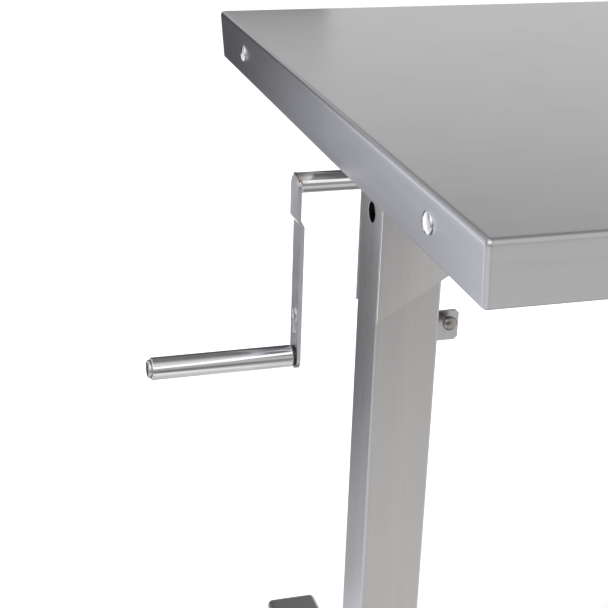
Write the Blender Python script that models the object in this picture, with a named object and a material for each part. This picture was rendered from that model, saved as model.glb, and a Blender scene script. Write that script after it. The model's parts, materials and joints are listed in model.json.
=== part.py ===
import math

import bmesh
import bpy
from mathutils import Vector

# Clearances: between pieces that touch, and at the end of the crank tube
GAP = 0.0003
END_PLAY = 0.0008

# Tabletop, one folded sheet: sides turned down, lower edge returned inward
TOP_LENGTH = 1.2192
TOP_DEPTH = 0.762
TOP_HEIGHT = 0.9144
APRON_HEIGHT = 0.0508
SHEET = 0.002
BEND_RADIUS = 0.0035
CORNER_RADIUS = 0.0035
HEM_WIDTH = 0.014

# Channels under the top
CHANNEL_WIDTH = 0.050
CHANNEL_WALL = 0.0025
CHANNEL_OFFSET = 0.1037
HEM_CLEARANCE = 0.003

# Rivets through the end aprons into the channels
RIVET_RISE = 0.0255
RIVET_HEAD_RADIUS = 0.0078
RIVET_HEAD_HEIGHT = 0.005
RIVET_SHANK_RADIUS = 0.004
RIVET_TAIL_RADIUS = 0.0058
RIVET_TAIL_HEIGHT = 0.003

# Outer legs
LEG_INSET = 0.054
LEG_WIDTH = 0.064
LEG_DEPTH = 0.058
LEG_WALL = 0.002
LEG_CORNER = 0.004
LEG_DROP = 0.560
ACCESS_RADIUS = 0.0095
ACCESS_DROP = 0.0646

# Gusset plates between the legs and the spine channel
GUSSET_WALL = 0.003
FRONT_GUSSET_SETBACK = 0.0033
REAR_GUSSET_SETBACK = 0.0003
GUSSET_DROP = 0.1657
GUSSET_SLOPE = math.radians(32.2)
GUSSET_TIP = 0.012

# Drive shaft with a hexagonal end, carried by flanged bushes in the legs
SHAFT_DROP = 0.0314
SHAFT_RADIUS = 0.007
HEX_FLATS = 0.0115
HEX_LENGTH = 0.040
BUSH_RADIUS = 0.010
BUSH_FLANGE_RADIUS = 0.0135
BUSH_FLANGE = 0.002
BUSH_DEPTH = 0.0035

# Bevel gears, equal on shaft and screw
GEAR_TEETH = 14
GEAR_PITCH_RADIUS = 0.016
GEAR_FACE = 0.008
GEAR_ADDENDUM = 0.0016
GEAR_DEDENDUM = 0.0024
GEAR_PRESSURE_ANGLE = math.radians(22.0)
GEAR_BACKLASH = 0.0006
GEAR_HUB_RADIUS = 0.0105
GEAR_BACK = 0.001
PINION_HUB = 0.0275
SCREW_GEAR_HUB = 0.045

# Lead screws, their bearing blocks and nuts
SCREW_RADIUS = 0.008
SCREW_JOURNAL_RADIUS = 0.006
SCREW_DROP = 0.455
BLOCK_HEIGHT = 0.020
NUT_FLANGE = 0.006
NUT_RADIUS = 0.015
NUT_LENGTH = 0.030

# Inner legs and the glide collars they slide in
SLIDE_SPACE = 0.004
INNER_WALL = 0.002
INNER_CORNER = 0.003
INNER_TOP = 0.600
GLIDE_HEIGHT = 0.040
GLIDE_RIM = 0.004

# Feet and stretcher
FOOT_LENGTH = 0.660
FOOT_WIDTH = 0.064
FOOT_HEIGHT = 0.038
FOOT_WALL = 0.003
FOOT_EDGE = 0.005
STRETCHER_DEPTH = 0.050
STRETCHER_HEIGHT = 0.025
STRETCHER_WALL = 0.002
STRETCHER_CORNER = 0.004

# Swivel casters
CASTER_HEIGHT = 0.102
CASTER_SETBACK = 0.040
STEM_RADIUS = 0.006
STEM_LENGTH = 0.022
RACE_RADIUS = 0.023
RACE_HEIGHT = 0.006
RACE_CHAMFER = 0.0024
TRAIL = 0.030
WHEEL_RADIUS = 0.038
WHEEL_WIDTH = 0.024
WHEEL_CROWN = 0.004
WHEEL_HUB_RADIUS = 0.013
WHEEL_RIM_RADIUS = 0.025
WHEEL_RECESS = 0.003
CHEEK_SPACE = 0.002
CHEEK_WALL = 0.0025
CHEEK_FRONT = 0.014
CHEEK_BACK = 0.020
CHEEK_END_RADIUS = 0.010
CHEEK_TURN = math.radians(25)
AXLE_RADIUS = 0.004
AXLE_HEAD_RADIUS = 0.0065
AXLE_HEAD = 0.003
AXLE_CHAMFER = 0.0012
PEDAL_PIVOT_BACK = 0.012
PEDAL_PIVOT_HEIGHT = 0.087
PEDAL_PIN_RADIUS = 0.0025
PEDAL_REACH = 0.058
PEDAL_WALL = 0.004
PEDAL_DROP = 0.010
PEDAL_PAD = 0.018
SHOE_LENGTH = 0.012
SHOE_CLEARANCE = 0.004

# Crank: tube, joggled flat arm with a keyhole, grip on its spindle
CRANK_TUBE_RADIUS = 0.0095
ARM_WIDTH = 0.0245
ARM_WALL = 0.0036
ARM_STAND_OFF = 0.022
JOGGLE = 0.0036
JOGGLE_START = 0.0331
JOGGLE_LENGTH = 0.0075
CRANK_THROW = 0.1742
KEY_DROP = 0.1312
KEY_RADIUS = 0.0064
SLOT_RADIUS = 0.0035
SLOT_LENGTH = 0.0156
GRIP_PLAY = 0.001
GRIP_LENGTH = 0.138
GRIP_RADIUS = 0.0107
GRIP_EDGE = 0.001
SPINDLE_RADIUS = 0.006
SPINDLE_HEAD_RADIUS = 0.0088
SPINDLE_HEAD = 0.003
SPINDLE_CHAMFER = 0.0015

# Hanger tab and its headed stud
TAB_REACH = 0.032
TAB_HEIGHT = 0.032
TAB_WALL = 0.003
TAB_CORNER = 0.004
TAB_DROP = 0.188
STUD_REACH = 0.0183
STUD_RISE = 0.007
STUD_NECK_RADIUS = 0.003
STUD_NECK_LENGTH = 0.009
STUD_HEAD_RADIUS = 0.0056
STUD_HEAD = 0.005
STUD_EDGE = 0.0008

# Smoothness of round shapes
ROUND = 16
FINE_ROUND = 24
CORNER_STEPS = 3
BEND_STEPS = 4
DOME_STEPS = 4
CHEEK_STEPS = 6
ARM_STEPS = 12
KEY_STEPS = 16
SLOT_STEPS = 8
# Share of a domed head that is flat at its crown
CROWN_FLAT = 0.12
SMOOTH_ANGLE = math.radians(35)

# Places worked out from the sizes above
ARM_OUTER = ARM_STAND_OFF - JOGGLE
GRIP_START = ARM_OUTER + GRIP_PLAY
CRANK_REACH = GRIP_START + GRIP_LENGTH + GAP + SPINDLE_HEAD
RIVET_REACH = GAP + RIVET_HEAD_HEIGHT
CENTRE_X = (CRANK_REACH - RIVET_REACH) / 2
LEFT = CENTRE_X - TOP_LENGTH / 2
APRON_EDGE = TOP_HEIGHT - APRON_HEIGHT
SHAFT_Z = APRON_EDGE - SHAFT_DROP
CHANNEL_BOTTOM = APRON_EDGE + SHEET + HEM_CLEARANCE
CHANNEL_TOP = TOP_HEIGHT - SHEET - GAP
CHANNEL_Y = TOP_DEPTH / 2 - CHANNEL_OFFSET
LEG_REACH = TOP_LENGTH / 2 - LEG_INSET - LEG_WIDTH / 2
LEG_BOTTOM = APRON_EDGE - LEG_DROP
LEG_TOP = CHANNEL_TOP - CHANNEL_WALL - GAP
BORE_WIDTH = LEG_WIDTH - 2 * (LEG_WALL + GAP)
BORE_DEPTH = LEG_DEPTH - 2 * (LEG_WALL + GAP)
BORE_CORNER = max(LEG_CORNER - LEG_WALL, GAP)
CROSS_WIDTH = LEG_WIDTH + 2 * (GAP + CHANNEL_WALL)
FOOT_BOTTOM = CASTER_HEIGHT
FOOT_TOP = FOOT_BOTTOM + FOOT_HEIGHT
CASTER_Y = FOOT_LENGTH / 2 - CASTER_SETBACK
BLOCK_TOP = SHAFT_Z - SCREW_GEAR_HUB - GAP
BLOCK_BOTTOM = BLOCK_TOP - BLOCK_HEIGHT
CRANK_TUBE_END = LEFT + LEG_INSET - GAP - BUSH_FLANGE - END_PLAY
LEFT_SIDE = -1
RIGHT_SIDE = 1
FRONT = -1
REAR = 1
SIDE_NAMES = {LEFT_SIDE: "left", RIGHT_SIDE: "right"}
FACE_NAMES = {FRONT: "front", REAR: "rear"}
X_AXIS = Vector((1, 0, 0))
Y_AXIS = Vector((0, 1, 0))
Z_AXIS = Vector((0, 0, 1))


def clear_scene():
    for item in list(bpy.data.objects):
        bpy.data.objects.remove(item)


def material(name, colour, metallic, roughness):
    finish = bpy.data.materials.new(name)
    finish.use_nodes = True
    shader = finish.node_tree.nodes["Principled BSDF"]
    shader.inputs["Base Color"].default_value = (*colour, 1)
    shader.inputs["Metallic"].default_value = metallic
    shader.inputs["Roughness"].default_value = roughness
    return finish


def empty(name, place, parent=None):
    item = bpy.data.objects.new(name, None)
    bpy.context.scene.collection.objects.link(item)
    attach(item, place, parent)
    return item


def attach(item, place, parent):
    # Empties are never turned, so a child's location is a plain difference of places
    item["place"] = tuple(place)
    if parent:
        item.parent = parent
        item.location = Vector(place) - Vector(parent["place"])
    else:
        item.location = Vector(place)


def new_object(name, mesh_data, place, parent, finish):
    bmesh.ops.recalc_face_normals(mesh_data, faces=mesh_data.faces)
    mesh = bpy.data.meshes.new(name)
    mesh_data.to_mesh(mesh)
    mesh_data.free()
    mesh.shade_smooth()
    mesh.set_sharp_from_angle(angle=SMOOTH_ANGLE)
    item = bpy.data.objects.new(name, mesh)
    bpy.context.scene.collection.objects.link(item)
    attach(item, place, parent)
    if finish:
        mesh.materials.append(finish)
    return item


def loft(rings, closed=False):
    shape = bmesh.new()
    loops = [[shape.verts.new(point) for point in ring] for ring in rings]
    pairs = list(zip(loops, loops[1:]))
    if closed:
        pairs.append((loops[-1], loops[0]))
    else:
        shape.faces.new(loops[0])
        shape.faces.new(loops[-1])
    for near, far in pairs:
        for index in range(len(near)):
            after = (index + 1) % len(near)
            shape.faces.new((near[index], near[after], far[after], far[index]))
    return shape


def side_axes(axis):
    first = X_AXIS if axis.z else Z_AXIS
    return first, axis.cross(first)


def circle(radius, along, axis, count=ROUND):
    first, second = side_axes(axis)
    ring = []
    for index in range(count):
        angle = math.tau * (index + 0.5) / count
        ring.append(axis * along + first * radius * math.cos(angle) + second * radius * math.sin(angle))
    return ring


def hexagon(flats, along, axis, count=FINE_ROUND):
    first, second = side_axes(axis)
    sector = math.tau / 6
    ring = []
    for index in range(count):
        angle = math.tau * index / count
        radius = flats / 2 / math.cos(angle % sector - sector / 2)
        ring.append(axis * along + first * radius * math.cos(angle) + second * radius * math.sin(angle))
    return ring


def lathe(profile, axis, closed=False, count=ROUND):
    # Profile points are (radius, distance along the axis)
    return loft([circle(radius, along, axis, count) for radius, along in profile], closed)


def rounded_loop(width, depth, radius, height, steps=CORNER_STEPS):
    ring = []
    for corner, (sx, sy) in enumerate(((1, 1), (-1, 1), (-1, -1), (1, -1))):
        centre_x = sx * (width / 2 - radius)
        centre_y = sy * (depth / 2 - radius)
        for step in range(steps + 1):
            angle = math.pi / 2 * (corner + step / steps)
            ring.append(Vector((
                centre_x + radius * math.cos(angle),
                centre_y + radius * math.sin(angle),
                height,
            )))
    return ring


def arc(centre, radius, start, end, steps):
    points = []
    for step in range(steps + 1):
        angle = start + (end - start) * step / steps
        points.append((centre[0] + radius * math.cos(angle), centre[1] + radius * math.sin(angle)))
    return points


def dome(radius, height, start):
    profile = []
    for across, rise in arc((0, 0), 1, 0, math.pi / 2, DOME_STEPS)[:-1]:
        profile.append((radius * across, start + height * rise))
    profile.append((radius * CROWN_FLAT, start + height))
    return profile


def prism(outline, axis, low, high):
    # Outline points are (across, up), where across is X for a Y prism and Y for an X prism
    across = Y_AXIS if axis.x else X_AXIS
    rings = []
    for along in (low, high):
        rings.append([axis * along + across * point[0] + Z_AXIS * point[1] for point in outline])
    return loft(rings)


def block(low, high):
    shape = bmesh.new()
    bmesh.ops.create_cube(shape, size=1)
    low = Vector(low)
    high = Vector(high)
    for vert in shape.verts:
        vert.co = Vector(low[i] if vert.co[i] < 0 else high[i] for i in range(3))
    return shape


def combine(item, tool_shape, place, operation, parent):
    tool = new_object(item.name + "_tool", tool_shape, place, parent, None)
    tool.hide_render = True
    tool.display_type = "WIRE"
    modifier = item.modifiers.new(operation.lower(), "BOOLEAN")
    modifier.operation = operation
    modifier.solver = "EXACT"
    modifier.object = tool


def cut(item, tool_shape, place, parent):
    combine(item, tool_shape, place, "DIFFERENCE", parent)


def join(item, tool_shape, place, parent):
    combine(item, tool_shape, place, "UNION", parent)


def leg_x(side):
    return CENTRE_X + side * LEG_REACH


def end_x(side):
    return CENTRE_X + side * TOP_LENGTH / 2


def drill(item, radius, side_x, place_y, place_z, depth, parent):
    tool = lathe([(radius, -depth), (radius, depth)], X_AXIS)
    cut(item, tool, (side_x, place_y, place_z), parent)


def make_tabletop(parent, finish):
    low = APRON_EDGE - TOP_HEIGHT
    rings = []
    for x, z in arc((BEND_RADIUS, -BEND_RADIUS), BEND_RADIUS, math.pi / 2, math.pi, BEND_STEPS):
        rings.append((x, z))
    for x, z in arc((BEND_RADIUS, low + BEND_RADIUS), BEND_RADIUS, math.pi, math.pi * 1.5, BEND_STEPS):
        rings.append((x, z))
    rings.append((HEM_WIDTH, low))
    rings.append((HEM_WIDTH, low + SHEET))
    rings.append((SHEET, low + SHEET))
    rings.append((SHEET, -SHEET))
    loops = []
    for inset, height in rings:
        radius = max(CORNER_RADIUS - inset, GAP)
        loops.append(rounded_loop(TOP_LENGTH - 2 * inset, TOP_DEPTH - 2 * inset, radius, height))
    top = new_object("tabletop", loft(loops), (CENTRE_X, 0, TOP_HEIGHT), parent, finish)
    for side in SIDE_NAMES:
        for face in FACE_NAMES:
            drill(
                top, RIVET_SHANK_RADIUS + GAP, end_x(side), face * CHANNEL_Y,
                APRON_EDGE + RIVET_RISE, SHEET * 2, parent,
            )


def tray(length, depth, height, wall):
    loops = []
    for inset, level in ((0, height), (0, 0), (wall, 0), (wall, height - wall)):
        x = length / 2 - inset
        y = depth / 2 - inset
        corners = ((x, y), (-x, y), (-x, -y), (x, -y))
        loops.append([Vector((*corner, level)) for corner in corners])
    return loft(loops)


def make_channels(parent, finish):
    height = CHANNEL_TOP - CHANNEL_BOTTOM
    side_length = TOP_LENGTH - 2 * (SHEET + GAP)
    for face, face_name in FACE_NAMES.items():
        shape = tray(side_length, CHANNEL_WIDTH, height, CHANNEL_WALL)
        place = (CENTRE_X, face * CHANNEL_Y, CHANNEL_BOTTOM)
        channel = new_object(face_name + "_channel", shape, place, parent, finish)
        for side in SIDE_NAMES:
            drill(
                channel, RIVET_SHANK_RADIUS + GAP, end_x(side) - side * (SHEET + GAP),
                face * CHANNEL_Y, APRON_EDGE + RIVET_RISE, CHANNEL_WALL * 2, parent,
            )
    cross_length = 2 * CHANNEL_Y - CHANNEL_WIDTH - 2 * GAP
    for side, side_name in SIDE_NAMES.items():
        shape = tray(CROSS_WIDTH, cross_length, height, CHANNEL_WALL)
        new_object(side_name + "_cross_channel", shape, (leg_x(side), 0, CHANNEL_BOTTOM), parent, finish)
    spine_length = 2 * LEG_REACH - CROSS_WIDTH - 2 * GAP
    spine_depth = LEG_DEPTH + 2 * (GAP + GUSSET_WALL)
    shape = tray(spine_length, spine_depth, height, CHANNEL_WALL)
    new_object("spine_channel", shape, (CENTRE_X, 0, CHANNEL_BOTTOM), parent, finish)


def make_rivets(parent, finish):
    grip = GAP + SHEET + GAP + CHANNEL_WALL + GAP
    for side, side_name in SIDE_NAMES.items():
        for face, face_name in FACE_NAMES.items():
            profile = [(RIVET_TAIL_RADIUS / 2, -grip - RIVET_TAIL_HEIGHT)]
            profile.append((RIVET_TAIL_RADIUS, -grip - RIVET_TAIL_HEIGHT / 2))
            profile.append((RIVET_TAIL_RADIUS, -grip))
            profile.append((RIVET_SHANK_RADIUS, -grip))
            profile.append((RIVET_SHANK_RADIUS, 0))
            profile += dome(RIVET_HEAD_RADIUS, RIVET_HEAD_HEIGHT, 0)
            place = (end_x(side) + side * GAP, face * CHANNEL_Y, APRON_EDGE + RIVET_RISE)
            shape = lathe(profile, X_AXIS * side)
            new_object(side_name + "_" + face_name + "_rivet", shape, place, parent, finish)


def tube(width, depth, wall, corner, low, high):
    inner_corner = max(corner - wall, GAP)
    return loft([
        rounded_loop(width, depth, corner, low),
        rounded_loop(width, depth, corner, high),
        rounded_loop(width - 2 * wall, depth - 2 * wall, inner_corner, high),
        rounded_loop(width - 2 * wall, depth - 2 * wall, inner_corner, low),
    ], closed=True)


def make_outer_leg(side, parent, finish):
    place = (leg_x(side), 0, LEG_BOTTOM)
    shape = tube(LEG_WIDTH, LEG_DEPTH, LEG_WALL, LEG_CORNER, 0, LEG_TOP - LEG_BOTTOM)
    leg = new_object(SIDE_NAMES[side] + "_outer_leg", shape, place, parent, finish)
    outer_face = leg_x(side) + side * LEG_WIDTH / 2
    inner_face = leg_x(side) - side * LEG_WIDTH / 2
    drill(leg, ACCESS_RADIUS, outer_face, 0, APRON_EDGE - ACCESS_DROP, LEG_WALL * 2, parent)
    drill(leg, BUSH_RADIUS + GAP, inner_face, 0, SHAFT_Z, LEG_WALL * 2, parent)
    if side == LEFT_SIDE:
        drill(leg, BUSH_RADIUS + GAP, outer_face, 0, SHAFT_Z, LEG_WALL * 2, parent)


def make_gussets(side, parent, finish):
    top = CHANNEL_BOTTOM - GAP - APRON_EDGE
    run = (GUSSET_DROP + top - GUSSET_TIP) / math.tan(GUSSET_SLOPE)
    inward = -side
    setbacks = {FRONT: FRONT_GUSSET_SETBACK, REAR: REAR_GUSSET_SETBACK}
    for face, face_name in FACE_NAMES.items():
        start = inward * (setbacks[face] - LEG_WIDTH / 2)
        outline = [
            (start, -GUSSET_DROP),
            (start + inward * run, top - GUSSET_TIP),
            (start + inward * run, top),
            (start, top),
        ]
        near = face * (LEG_DEPTH / 2 + GAP)
        far = near + face * GUSSET_WALL
        name = SIDE_NAMES[side] + "_" + face_name + "_gusset"
        new_object(name, prism(outline, Y_AXIS, near, far), (leg_x(side), 0, APRON_EDGE), parent, finish)


def make_glide(side, parent, finish):
    inner_width = LEG_WIDTH - 2 * (LEG_WALL + SLIDE_SPACE - GAP)
    inner_depth = LEG_DEPTH - 2 * (LEG_WALL + SLIDE_SPACE - GAP)
    shape = loft([
        rounded_loop(LEG_WIDTH, LEG_DEPTH, LEG_CORNER, -GLIDE_RIM),
        rounded_loop(LEG_WIDTH, LEG_DEPTH, LEG_CORNER, 0),
        rounded_loop(BORE_WIDTH, BORE_DEPTH, BORE_CORNER, 0),
        rounded_loop(BORE_WIDTH, BORE_DEPTH, BORE_CORNER, GLIDE_HEIGHT),
        rounded_loop(inner_width, inner_depth, INNER_CORNER, GLIDE_HEIGHT),
        rounded_loop(inner_width, inner_depth, INNER_CORNER, -GLIDE_RIM),
    ], closed=True)
    new_object(SIDE_NAMES[side] + "_glide", shape, (leg_x(side), 0, LEG_BOTTOM - GAP), parent, finish)


def make_bearing_block(side, parent, finish):
    count = 4 * (CORNER_STEPS + 1)
    bore = SCREW_JOURNAL_RADIUS + GAP
    shape = loft([
        rounded_loop(BORE_WIDTH, BORE_DEPTH, BORE_CORNER, 0),
        rounded_loop(BORE_WIDTH, BORE_DEPTH, BORE_CORNER, BLOCK_HEIGHT),
        circle(bore, BLOCK_HEIGHT, Z_AXIS, count),
        circle(bore, 0, Z_AXIS, count),
    ], closed=True)
    place = (leg_x(side), 0, BLOCK_BOTTOM)
    new_object(SIDE_NAMES[side] + "_bearing_block", shape, place, parent, finish)


def make_bush(name, face_x, outward, parent, finish):
    bore = SHAFT_RADIUS + GAP
    profile = [
        (bore, GAP + BUSH_FLANGE),
        (BUSH_FLANGE_RADIUS, GAP + BUSH_FLANGE),
        (BUSH_FLANGE_RADIUS, GAP),
        (BUSH_RADIUS, GAP),
        (BUSH_RADIUS, -BUSH_DEPTH),
        (bore, -BUSH_DEPTH),
    ]
    shape = lathe(profile, X_AXIS * outward, closed=True)
    new_object(name, shape, (face_x, 0, SHAFT_Z), parent, finish)


def make_drive_shaft(parent, finish):
    hex_start = CRANK_TUBE_END - HEX_LENGTH
    stop = leg_x(RIGHT_SIDE) - gear_front() + GAP
    shape = loft([
        hexagon(HEX_FLATS, hex_start - leg_x(LEFT_SIDE), X_AXIS),
        hexagon(HEX_FLATS, CRANK_TUBE_END - leg_x(LEFT_SIDE), X_AXIS),
        circle(SHAFT_RADIUS, CRANK_TUBE_END + GAP - leg_x(LEFT_SIDE), X_AXIS, FINE_ROUND),
        circle(SHAFT_RADIUS, stop - leg_x(LEFT_SIDE), X_AXIS, FINE_ROUND),
    ])
    new_object("drive_shaft", shape, (leg_x(LEFT_SIDE), 0, SHAFT_Z), parent, finish)


def gear_angles():
    # Half angles of the tip and root cones about the 45 degree pitch cone
    cone = GEAR_PITCH_RADIUS / math.sin(math.pi / 4)
    tip = math.pi / 4 + math.atan(GEAR_ADDENDUM / cone)
    root = math.pi / 4 - math.atan(GEAR_DEDENDUM / cone)
    return cone, tip, root


def gear_front():
    cone, tip, _ = gear_angles()
    return (cone - GEAR_FACE) * math.cos(tip)


def bevel_gear(axis, mate, tooth_at_mate, bore, hub_end):
    # The cone's point is at the origin; mate points to the gear it meshes with
    cone, tip, root = gear_angles()
    side = axis.cross(mate)
    pitch = math.tau / GEAR_TEETH
    half_pitch_width = math.pi * GEAR_PITCH_RADIUS / GEAR_TEETH / 2 - GEAR_BACKLASH / 2
    tip_half = half_pitch_width - GEAR_ADDENDUM * math.tan(GEAR_PRESSURE_ANGLE)
    root_half = half_pitch_width + GEAR_DEDENDUM * math.tan(GEAR_PRESSURE_ANGLE)
    tip_angle = tip_half / (cone * math.sin(tip))
    root_angle = root_half / (cone * math.sin(root))
    shift = 0 if tooth_at_mate else pitch / 2
    spokes = []
    for tooth in range(GEAR_TEETH):
        middle = tooth * pitch + shift
        spokes.append((middle - root_angle, root))
        spokes.append((middle - tip_angle, tip))
        spokes.append((middle + tip_angle, tip))
        spokes.append((middle + root_angle, root))

    def toothed(distance):
        ring = []
        for angle, slope in spokes:
            outward = mate * math.cos(angle) + side * math.sin(angle)
            ring.append((axis * math.cos(slope) + outward * math.sin(slope)) * distance)
        return ring

    def plain(radius, along):
        ring = []
        for angle, _ in spokes:
            outward = mate * math.cos(angle) + side * math.sin(angle)
            ring.append(axis * along + outward * radius)
        return ring

    back = cone * math.cos(root) + GEAR_BACK
    return loft([
        plain(bore, gear_front()),
        toothed(cone - GEAR_FACE),
        toothed(cone),
        plain(GEAR_HUB_RADIUS, back),
        plain(GEAR_HUB_RADIUS, hub_end),
        plain(bore, hub_end),
    ], closed=True)


def make_pinion(side, parent, finish):
    inward = X_AXIS * -side
    shape = bevel_gear(inward, -Z_AXIS, True, SHAFT_RADIUS + GAP, PINION_HUB)
    new_object(SIDE_NAMES[side] + "_pinion", shape, (leg_x(side), 0, SHAFT_Z), parent, finish)


def make_screw(side, parent, steel, brass):
    inward = X_AXIS * -side
    place = (leg_x(side), 0, SHAFT_Z)
    gear = bevel_gear(-Z_AXIS, inward, False, SCREW_JOURNAL_RADIUS + GAP, SCREW_GEAR_HUB)
    new_object(SIDE_NAMES[side] + "_bevel_gear", gear, place, parent, brass)
    shoulder = BLOCK_BOTTOM - GAP - SHAFT_Z
    end = APRON_EDGE - SCREW_DROP - SHAFT_Z
    profile = [
        (SCREW_JOURNAL_RADIUS, -gear_front()),
        (SCREW_JOURNAL_RADIUS, shoulder),
        (SCREW_RADIUS, shoulder),
        (SCREW_RADIUS, end),
    ]
    new_object(SIDE_NAMES[side] + "_lead_screw", lathe(profile, Z_AXIS), place, parent, steel)


def make_inner_leg(side, parent, finish):
    width = LEG_WIDTH - 2 * (LEG_WALL + SLIDE_SPACE)
    depth = LEG_DEPTH - 2 * (LEG_WALL + SLIDE_SPACE)
    low = FOOT_TOP + GAP
    shape = tube(width, depth, INNER_WALL, INNER_CORNER, 0, INNER_TOP - low)
    new_object(SIDE_NAMES[side] + "_inner_leg", shape, (leg_x(side), 0, low), parent, finish)


def make_lift_nut(side, parent, finish):
    count = 4 * (CORNER_STEPS + 1)
    bore = SCREW_RADIUS + GAP
    shape = loft([
        circle(bore, NUT_FLANGE, Z_AXIS, count),
        rounded_loop(BORE_WIDTH, BORE_DEPTH, BORE_CORNER, NUT_FLANGE),
        rounded_loop(BORE_WIDTH, BORE_DEPTH, BORE_CORNER, 0),
        circle(NUT_RADIUS, 0, Z_AXIS, count),
        circle(NUT_RADIUS, -NUT_LENGTH, Z_AXIS, count),
        circle(bore, -NUT_LENGTH, Z_AXIS, count),
    ], closed=True)
    new_object(SIDE_NAMES[side] + "_lift_nut", shape, (leg_x(side), 0, INNER_TOP + GAP), parent, finish)


def make_foot(side, parent, finish):
    half_width = FOOT_WIDTH / 2
    half_length = FOOT_LENGTH / 2
    loops = []
    steps = (
        (FOOT_EDGE / 2, 0),
        (0, FOOT_EDGE / 2),
        (0, FOOT_HEIGHT - FOOT_EDGE),
        (FOOT_EDGE, FOOT_HEIGHT),
    )
    for inset, level in steps:
        loops.append(rounded_loop(FOOT_WIDTH - 2 * inset, FOOT_LENGTH - 2 * inset, FOOT_EDGE, level))
    place = (leg_x(side), 0, FOOT_BOTTOM)
    foot = new_object(SIDE_NAMES[side] + "_foot", loft(loops), place, parent, finish)
    hollow = block(
        (FOOT_WALL - half_width, FOOT_WALL - half_length, FOOT_WALL),
        (half_width - FOOT_WALL, half_length - FOOT_WALL, FOOT_HEIGHT - FOOT_WALL),
    )
    cut(foot, hollow, place, parent)
    for face in FACE_NAMES:
        stem_hole = lathe([(STEM_RADIUS + GAP, -FOOT_WALL), (STEM_RADIUS + GAP, FOOT_WALL * 2)], Z_AXIS)
        cut(foot, stem_hole, (leg_x(side), face * CASTER_Y, FOOT_BOTTOM), parent)


def make_stretcher(parent, finish):
    half = LEG_REACH - FOOT_WIDTH / 2 - GAP
    rings = []
    inner_corner = max(STRETCHER_CORNER - STRETCHER_WALL, GAP)
    for along, wall, corner in (
        (-half, 0, STRETCHER_CORNER),
        (half, 0, STRETCHER_CORNER),
        (half, STRETCHER_WALL, inner_corner),
        (-half, STRETCHER_WALL, inner_corner),
    ):
        loop = rounded_loop(STRETCHER_DEPTH - 2 * wall, STRETCHER_HEIGHT - 2 * wall, corner, along)
        rings.append([Vector((point.z, point.x, point.y)) for point in loop])
    place = (CENTRE_X, 0, FOOT_BOTTOM + FOOT_HEIGHT / 2)
    new_object("lower_stretcher", loft(rings, closed=True), place, parent, finish)


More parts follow.
